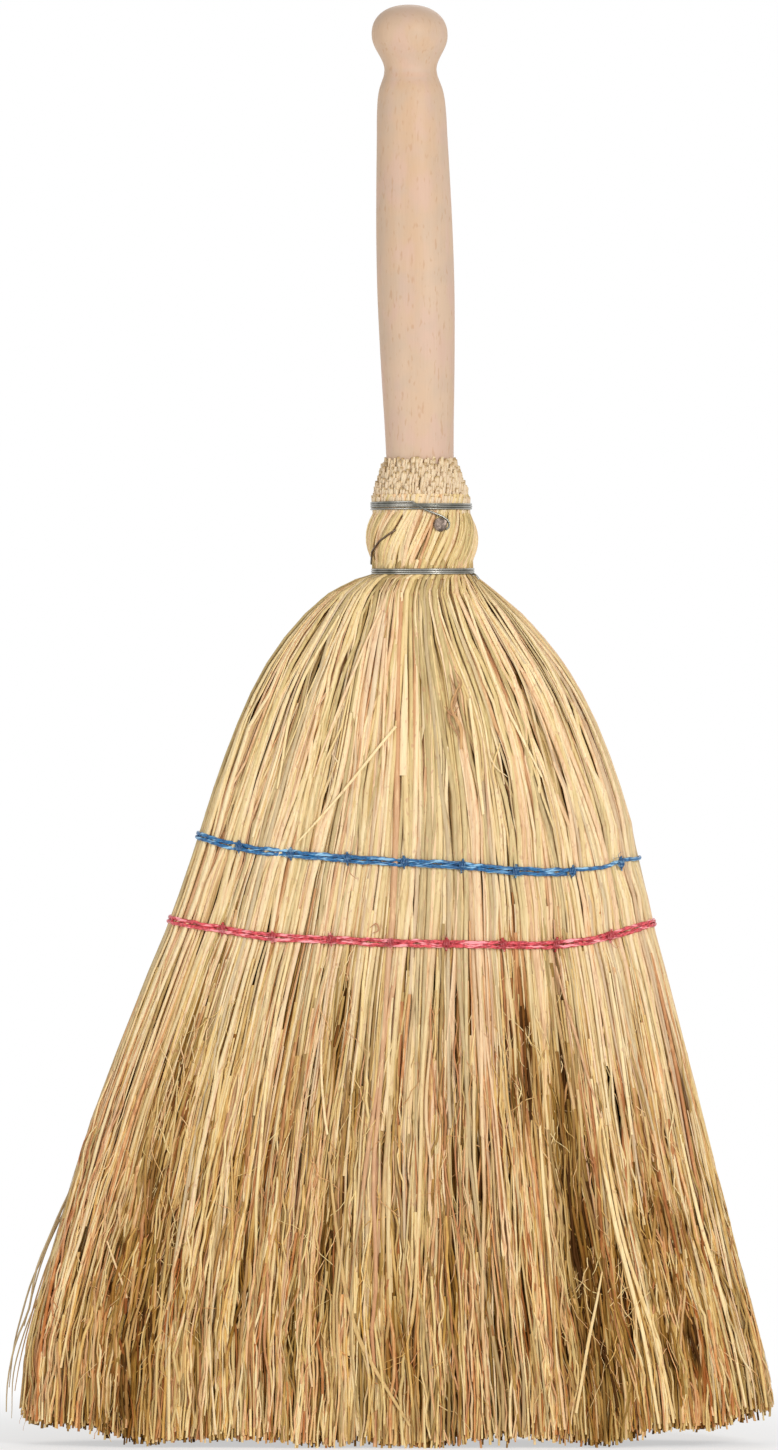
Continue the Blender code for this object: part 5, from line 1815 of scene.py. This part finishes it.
@dataclass
class WireBinding:
    """The galvanised wire: two bands of touching turns, a crossover between them, a hook and a tail."""

    shape: HeadShape
    tree: TwistedTree
    finish: bpy.types.Material
    gauge: float = 0.375
    pitch: float = 0.77
    upper: float = 337.5
    lower: float = 313.9
    upper_seat: float = 17.98
    lower_seat: float = 18.35
    turns: float = 3.41
    hook: tuple[tuple[float, float], ...] = (
        (17.4, 328.7), (18.5, 329.6), (18.7, 331), (17.9, 332.3), (16.3, 333.4), (14.4, 334.2),
        (12.3, 335), (10.3, 335.7),
    )
    crossover: tuple[tuple[float, float], ...] = (
        (-0.8, 328.5), (-3, 327.1), (-6.6, 324.5), (-9.1, 320.8), (-9.6, 316.8),
    )
    tail: tuple[tuple[float, float, float], ...] = (
        (0.5, -1, 0.4), (1, -2, 0.6), (1.6, -2.8, 0.3), (2.3, -3.3, -0.5), (2.9, -3.5, -1.5),
    )

    def _laid(self, line: Sequence[tuple[float, float]], lift: float) -> list[Array]:
        """Lay a stretch of wire on the front of the bulge.

        Args:
            line: its places across and up.
            lift: how far its middle is off the straw.

        Returns:
            Its points in millimetres.
        """
        made = []
        for x, z in line:
            radius = smooth_table(self.shape.neck, z) + lift
            azimuth = -math.acos(np.clip((x - self.shape.axis(z)) / radius, -1, 1))
            made.append(self.shape.neck_point(azimuth, radius, z))
        return made

    def path(self) -> Array:
        """Follow the wire from the hook at the nail to its tail.

        Returns:
            Points in millimetres.
        """
        draw = np.random.default_rng(3)
        points = self._laid(self.hook, 0.55)
        half = self.turns * self.pitch / 2
        bands = ((self.upper, self.upper_seat, -1.75), (self.lower, self.lower_seat, -4.05))
        for base, seat, start in bands:
            share = even_steps(44 * round(self.turns) + 20)
            azimuth = start - share * self.turns * math.tau
            height = base + half * (1 - 2 * share) + 0.22 * np.sin(azimuth - 0.4)
            height = height + 0.05 * smooth_table(list(enumerate(draw.normal(0, 1, 16))), share * 15)
            radius = seat + 0.05 * smooth_table(list(enumerate(draw.normal(0, 1, 20))), share * 19)
            if base == self.lower:
                points += self._laid(self.crossover, 0.45)
            points += list(self.shape.neck_point(azimuth, radius, height))
        points += [points[-1] + np.array(step) for step in self.tail]
        return np.array(points)

    def build(self) -> None:
        """Draw the wire along its path."""
        path = self.path()[None]
        rust = np.abs(path[..., 2] - (self.upper + self.lower) / 2) < 8.5
        guides = Guides(path * MM, {"girth": 1, "lot": rust * (path[..., 0] < 3)})
        sizes = {
            "Plies": 1, "Ply Radius": self.gauge * MM, "Lay Radius": 0.0, "Turns per Metre": 0.0,
            "Sides": 10, "Finish": self.finish,
        }
        piece = self.tree.grow("wire_binding", guides.mesh("wire_binding"), sizes)
        settle(piece, ("binding_wire",))


@dataclass
class HandNail:
    """The nail through the straw into the handle, with a hammered, faceted head."""

    shape: HeadShape
    finish: bpy.types.Material
    x: float = 15.4
    z: float = 330.5
    seat: float = 19.4
    head_radius: float = 2.6
    rings: tuple[tuple[float, float], ...] = (
        (0.62, 1.15), (0.95, 0.85), (1, 0.35), (0.96, -0.15), (0.32, -0.35), (0.31, -9),
        (0.30, -15), (0.06, -17.6),
    )
    facets: int = 11

    def build(self) -> None:
        """Forge the head and shank and drive them in."""
        draw = np.random.default_rng(9)
        angle = np.linspace(0, math.tau, self.facets, endpoint=False)
        wobble = 1 + draw.normal(0, 0.045, self.facets)
        azimuth = -math.acos((self.x - self.shape.axis(self.z)) / self.seat)
        out = np.array([math.cos(azimuth), math.sin(azimuth), 0])
        side, up = np.array([-out[1], out[0], 0]), np.array([0, 0, 1])
        centre = self.shape.neck_point(azimuth, self.seat, self.z)
        points = []
        for share, lift in self.rings:
            hammered = share > 0.5
            radius = self.head_radius * share * (wobble[:, None] if hammered else 1)
            rise = lift + (draw.normal(0, 0.10, self.facets) if hammered else 0)
            ring = centre + out * np.reshape(rise, (-1, 1))
            across, rise = (radius * turned[:, None] for turned in (np.cos(angle), np.sin(angle)))
            points.append(ring + side * across + up * rise)
        piece = lathe("nail_head", np.array(points) * MM, self.finish)
        piece.data.shade_flat()
        settle(piece, ("nail",))


# Twine


@dataclass
class TwineRow:
    """A row of twine laid round the head in two strands, knotted through it at each gap."""

    shape: HeadShape
    tree: TwistedTree
    row: SewnRow
    finish: bpy.types.Material
    slot: Slot
    single_from: float | None = None
    seed: int = 5
    strand_apart: float = 1.46
    ply_radius: float = 0.43
    lay_radius: float = 0.34
    stitch: tuple[tuple[float, float], ...] = (
        (-2.6, -1.6), (-2.1, 0.4), (-1.2, 1.15), (0, 1.45), (1.2, 1.15), (2.1, 0.4), (2.6, -1.6),
    )

    def _ring(self, lift: float, draw: np.random.Generator, ways: Array) -> Array:
        """Follow the head round at the row's height.

        Args:
            lift: how far the strand is above the row's middle.
            draw: source of chance.
            ways: ways round the head.

        Returns:
            The points.
        """
        start = np.full_like(ways, self.row.height(0))
        height = self.row.height(self.shape.surface(ways, start, 0)[..., 0])
        x = self.shape.surface(ways, height, 0)[..., 0]
        wobble = np.interp(ways, np.linspace(-1, 2, 400), draw.normal(0, 0.13, 400))
        inward = sum(np.exp(-((x - knot) / 4.5) ** 2) for knot in self.row.knots)
        return self.shape.surface(ways, self.row.height(x) + lift + wobble, inward - 0.40)

    def _face(self, knot: float, back: bool = False) -> tuple[float, float]:
        """Find the straw's face under a knot.

        Args:
            knot: place across the head.
            back: whether the back is meant rather than the front.

        Returns:
            Height of the row there, and y of the face.
        """
        middle = self.row.height(knot)
        way = self.shape.share_at(knot, middle, back)[0]
        return middle, self.shape.surface(way, middle, 1.3)[1]

    def strands(self) -> Guides:
        """Lay the two strands of the row, of which the lower one may end early.

        Returns:
            Their guide lines.
        """
        draw = np.random.default_rng(self.seed)
        count = 620
        steps = np.arange(count)
        lines = []
        for number, lift in enumerate((self.strand_apart / 2, -self.strand_apart / 2)):
            ends_early = number == 1 and self.single_from is not None
            first, last = 0.02, 1.02
            if ends_early:
                last = self.shape.share_at(self.single_from, self.row.height(self.single_from))[0]
                first = last - 0.86
            ring = self._ring(lift, draw, np.linspace(first, last, count))
            if ends_early:
                ring[:, 1] += np.interp(steps, [count - 8, count - 1], [0, 3])
                ring[:, 1] -= np.interp(steps, [0, 7], [3, 0])
            lines.append(ring)
        return Guides(np.array(lines) * MM, {"girth": 1, "lot": 0})

    def stitches(self) -> Guides:
        """Pass a loop through the head at each knot, over both strands in front and at the back.

        Returns:
            Their guide lines.
        """
        draw = np.random.default_rng(self.seed + 1)
        lines = []
        for knot in self.row.knots:
            slant = draw.uniform(-0.5, 0.5)
            path = []
            for back, out, stitch in ((False, -1, self.stitch), (True, 1, self.stitch[::-1])):
                middle, face = self._face(knot, back)
                for rise, lift in stitch:
                    path.append((knot + slant * rise * 0.35, face + out * lift, middle + rise))
            loop = np.array(path + path[:1])
            length = travelled(loop)
            even = np.linspace(0, length[-1], 130)
            lines.append(np.stack([np.interp(even, length, loop[:, axis]) for axis in range(3)], axis=-1))
        return Guides(np.array(lines) * MM, {"girth": 1, "lot": 0.4})

    def knots(self) -> Guides:
        """Tie a small overhand knot on the front of each stitch, with short frayed ends.

        Returns:
            The guide lines.
        """
        draw = np.random.default_rng(self.seed + 2)
        turn = np.linspace(0, math.tau * 1.6, 26)
        lines = []
        for knot in self.row.knots:
            middle, face = self._face(knot)
            tilt = draw.uniform(-0.5, 0.5)
            x = knot + 0.62 * np.cos(turn + tilt) + np.linspace(-0.6, 0.6, 26)
            z = middle + 1.3 * np.sin(turn + tilt) * np.linspace(0.9, 1.1, 26)
            y = face - 1.45 - 0.35 * np.sin(turn * 2 + 1) - np.linspace(0, 0.4, 26)
            lines.append(joined(x, y, z))
        return Guides(np.array(lines) * MM, {"girth": 0.85, "lot": 1.5})

    def frays(self) -> Guides:
        """Let thin filaments stand out at the knots, and one loop hang from the row.

        Returns:
            The guide lines.
        """
        draw = np.random.default_rng(self.seed + 3)
        along = even_steps(9)
        lines = []
        for knot in self.row.knots:
            middle, face = self._face(knot)
            for _ in range(draw.integers(3, 7)):
                angle = draw.choice([0.5, -0.5]) * math.pi + draw.normal(0, 0.6)
                length = draw.uniform(1.8, 3.8)
                angle = angle + draw.normal(0, 1.1) * along
                x, z = knot + np.cos(angle) * length * along, middle + np.sin(angle) * length * along
                y = face - 1.7 - draw.uniform(0, 0.8) * along
                lines.append(joined(x, y, z))
        rows = np.array(self.row.loop)
        table = np.column_stack([even_steps(len(rows)), rows])
        x, z = (smooth_table(table, along, column) for column in (1, 2))
        y = self.shape.surface(self.shape.share_at(x, z), z, -1)[:, 1]
        lines.append(joined(x, y, z))
        return Guides(np.array(lines) * MM, {"girth": np.linspace(1, 0.5, 9), "lot": 0.9})

    def build(self) -> None:
        """Lay the row, sew it and tie it."""
        name = self.row.name
        nodes = [f"{name}_stitch_{number}" for number in range(1, 9)]
        parts = (
            ("row", self.strands(), 3, self.ply_radius, self.lay_radius, 95.0, (f"{name}_twine",)),
            ("stitches", self.stitches(), 2, 0.27, 0.22, 130.0, nodes),
            ("knots", self.knots(), 3, 0.27, 0.24, 160.0, ()),
            ("frays", self.frays(), 1, 0.10, 0.0, 0.0, ()),
        )
        for label, guides, plies, radius, lay, turns, stands_for in parts:
            sizes = {
                "Plies": plies, "Ply Radius": radius * MM, "Lay Radius": lay * MM, "Turns per Metre": turns,
                "Sides": 7 if plies > 1 else 4, "Finish": self.finish,
            }
            made = f"{name}_{label}"
            settle(self.tree.grow(made, guides.mesh(made), sizes), stands_for)


# Studio


@dataclass
class Studio:
    """A pale floor and soft light round the broom, and the camera in front of it."""

    distance: float = 4.0
    sensor: float = 36.0
    framed: float = 0.522
    aim_x: float = -0.00295
    aim_z: float = 0.2587
    world_level: float = 0.40
    lit: tuple[float, float, float] = (0.0, 0.0, 0.25)

    def build(self) -> None:
        """Set up the floor, the light and the camera."""
        self.floor()
        self.world()
        lamps = (
            ("key_light", (1.0, -1.8, 1.0), 0.6, 25.0),
            ("fill_light", (-1.6, -1.6, 0.5), 1.2, 13.5),
            ("back_light", (0.2, 1.6, 1.6), 1.2, 8.0),
        )
        for name, place, size, power in lamps:
            self.lamp(name, Vector(place), size, power)
        self.camera()
        bpy.context.scene.view_settings.view_transform = "Standard"

    def floor(self) -> None:
        """Lay a pale floor that glows white in part, so that it fades into the white surroundings."""
        steps = 64
        rings = np.array([0.0, 0.2, 0.4, 0.7, 1.2, 2.2, 4.0, 9.0])
        angle = np.linspace(0.0, math.tau, steps, endpoint=False)
        x = rings[1:, None] * np.cos(angle)
        y = rings[1:, None] * np.sin(angle)
        points = joined(x, y, np.zeros_like(x)).reshape(-1, 3)
        middle: list[tuple[int, ...]] = [(0, 1 + step, 1 + (step + 1) % steps) for step in range(steps)]
        mesh = bpy.data.meshes.new("floor")
        mesh.from_pydata([(0.0, 0.0, 0.0), *points], [], middle + ring_faces(len(rings) - 1, steps, 1))
        shader = ShaderBuilder("floor")
        diffuse = shader.node("ShaderNodeBsdfDiffuse", {}, {"Color": (0.93, 0.93, 0.93, 1.0)})
        white = shader.node("ShaderNodeEmission", {}, {"Color": (1.0, 1.0, 1.0, 1.0), "Strength": 1.0})
        away = shader.node("ShaderNodeVectorMath", {"operation": "LENGTH"}, {0: shader.place}, "Value")
        # The floor glows by its own emission, at least 55 % near the broom and wholly further out, which
        # lifts its shadow.
        share = 0.55 + away.between(0.10, 0.40) * 0.45
        mixed = shader.node("ShaderNodeMixShader", {}, {0: share, 1: diffuse, 2: white})
        shader.node("ShaderNodeOutputMaterial", {}, {"Surface": mixed})
        mesh.materials.append(shader.material)
        placed("floor", mesh)

    def world(self) -> None:
        """Surround the broom with soft white light."""
        world = bpy.data.worlds.new("white_room")
        world.use_nodes = True
        bpy.context.scene.world = world
        tree = TreeBuilder(world.node_tree)
        path = tree.node("ShaderNodeLightPath")
        labels = ("Is Camera Ray", "Is Glossy Ray", "Is Transmission Ray")
        camera, glossy, through = (Term(tree, path.socket.node.outputs[label]) for label in labels)
        seen = (camera + glossy + through).clamped()
        level = self.world_level + seen * (1.0 - self.world_level)
        inputs = {"Color": (1.0, 1.0, 1.0, 1.0), "Strength": level}
        background = tree.node("ShaderNodeBackground", {}, inputs)
        tree.node("ShaderNodeOutputWorld", {}, {"Surface": background})

    def lamp(self, name: str, place: Vector, size: float, power: float) -> None:
        """Hang a square soft lamp that faces the broom's middle.

        Args:
            name: its name.
            place: where it hangs.
            size: its edge.
            power: its power in watts.
        """
        light = bpy.data.lights.new(name, "AREA")
        light.energy = power
        light.size = size
        lamp = placed(name, light)
        lamp.location = place
        lamp.rotation_euler = (Vector(self.lit) - place).to_track_quat("-Z", "Y").to_euler()

    def camera(self) -> None:
        """Stand the camera level in front of the broom."""
        data = bpy.data.cameras.new("camera")
        data.sensor_width = self.sensor
        data.lens = self.sensor * self.distance / self.framed
        data.clip_end = 100.0
        camera = placed("camera", data)
        camera.location = (self.aim_x, -self.distance, self.aim_z)
        camera.rotation_euler = (math.pi / 2, 0.0, 0.0)
        bpy.context.scene.camera = camera


def main() -> None:
    """Build the broom piece by piece, then the studio round it."""
    logging.basicConfig(level=logging.INFO, format="%(name)s: %(message)s")
    shape = HeadShape()
    straws, plies = StrawTree(), TwistedTree()
    straw = StrawFinish("sorghum_straw").material()
    inner = StrawFinish("inner_sorghum").material()
    wire = MetalFinish("galvanised_wire", (0.62, 0.61, 0.58), (0.46, 0.46, 0.43), 0.30, 120.0).material()
    iron = MetalFinish("dark_iron", (0.58, 0.51, 0.46), (0.34, 0.29, 0.26), 0.5, 420.0, 0.6, 0.6).material()
    blue = TwineFinish("blue_twine", (0.13, 0.45, 0.66), (0.06, 0.27, 0.45), (0.58, 0.77, 0.89)).material()
    red = TwineFinish("red_twine", (0.90, 0.33, 0.37), (0.60, 0.15, 0.17), (1.0, 0.66, 0.68)).material()
    StrawHead(shape, straws, straw, inner).build()
    TurnedHandle(shape, BeechFinish().material()).build()
    WireBinding(shape, plies, wire).build()
    HandNail(shape, iron).build()
    TwineRow(shape, plies, BLUE_ROW, blue, Slot.BLUE, single_from=63.0, seed=5).build()
    TwineRow(shape, plies, RED_ROW, red, Slot.RED, seed=15).build()
    Studio().build()


if __name__ == "__main__":
    main()
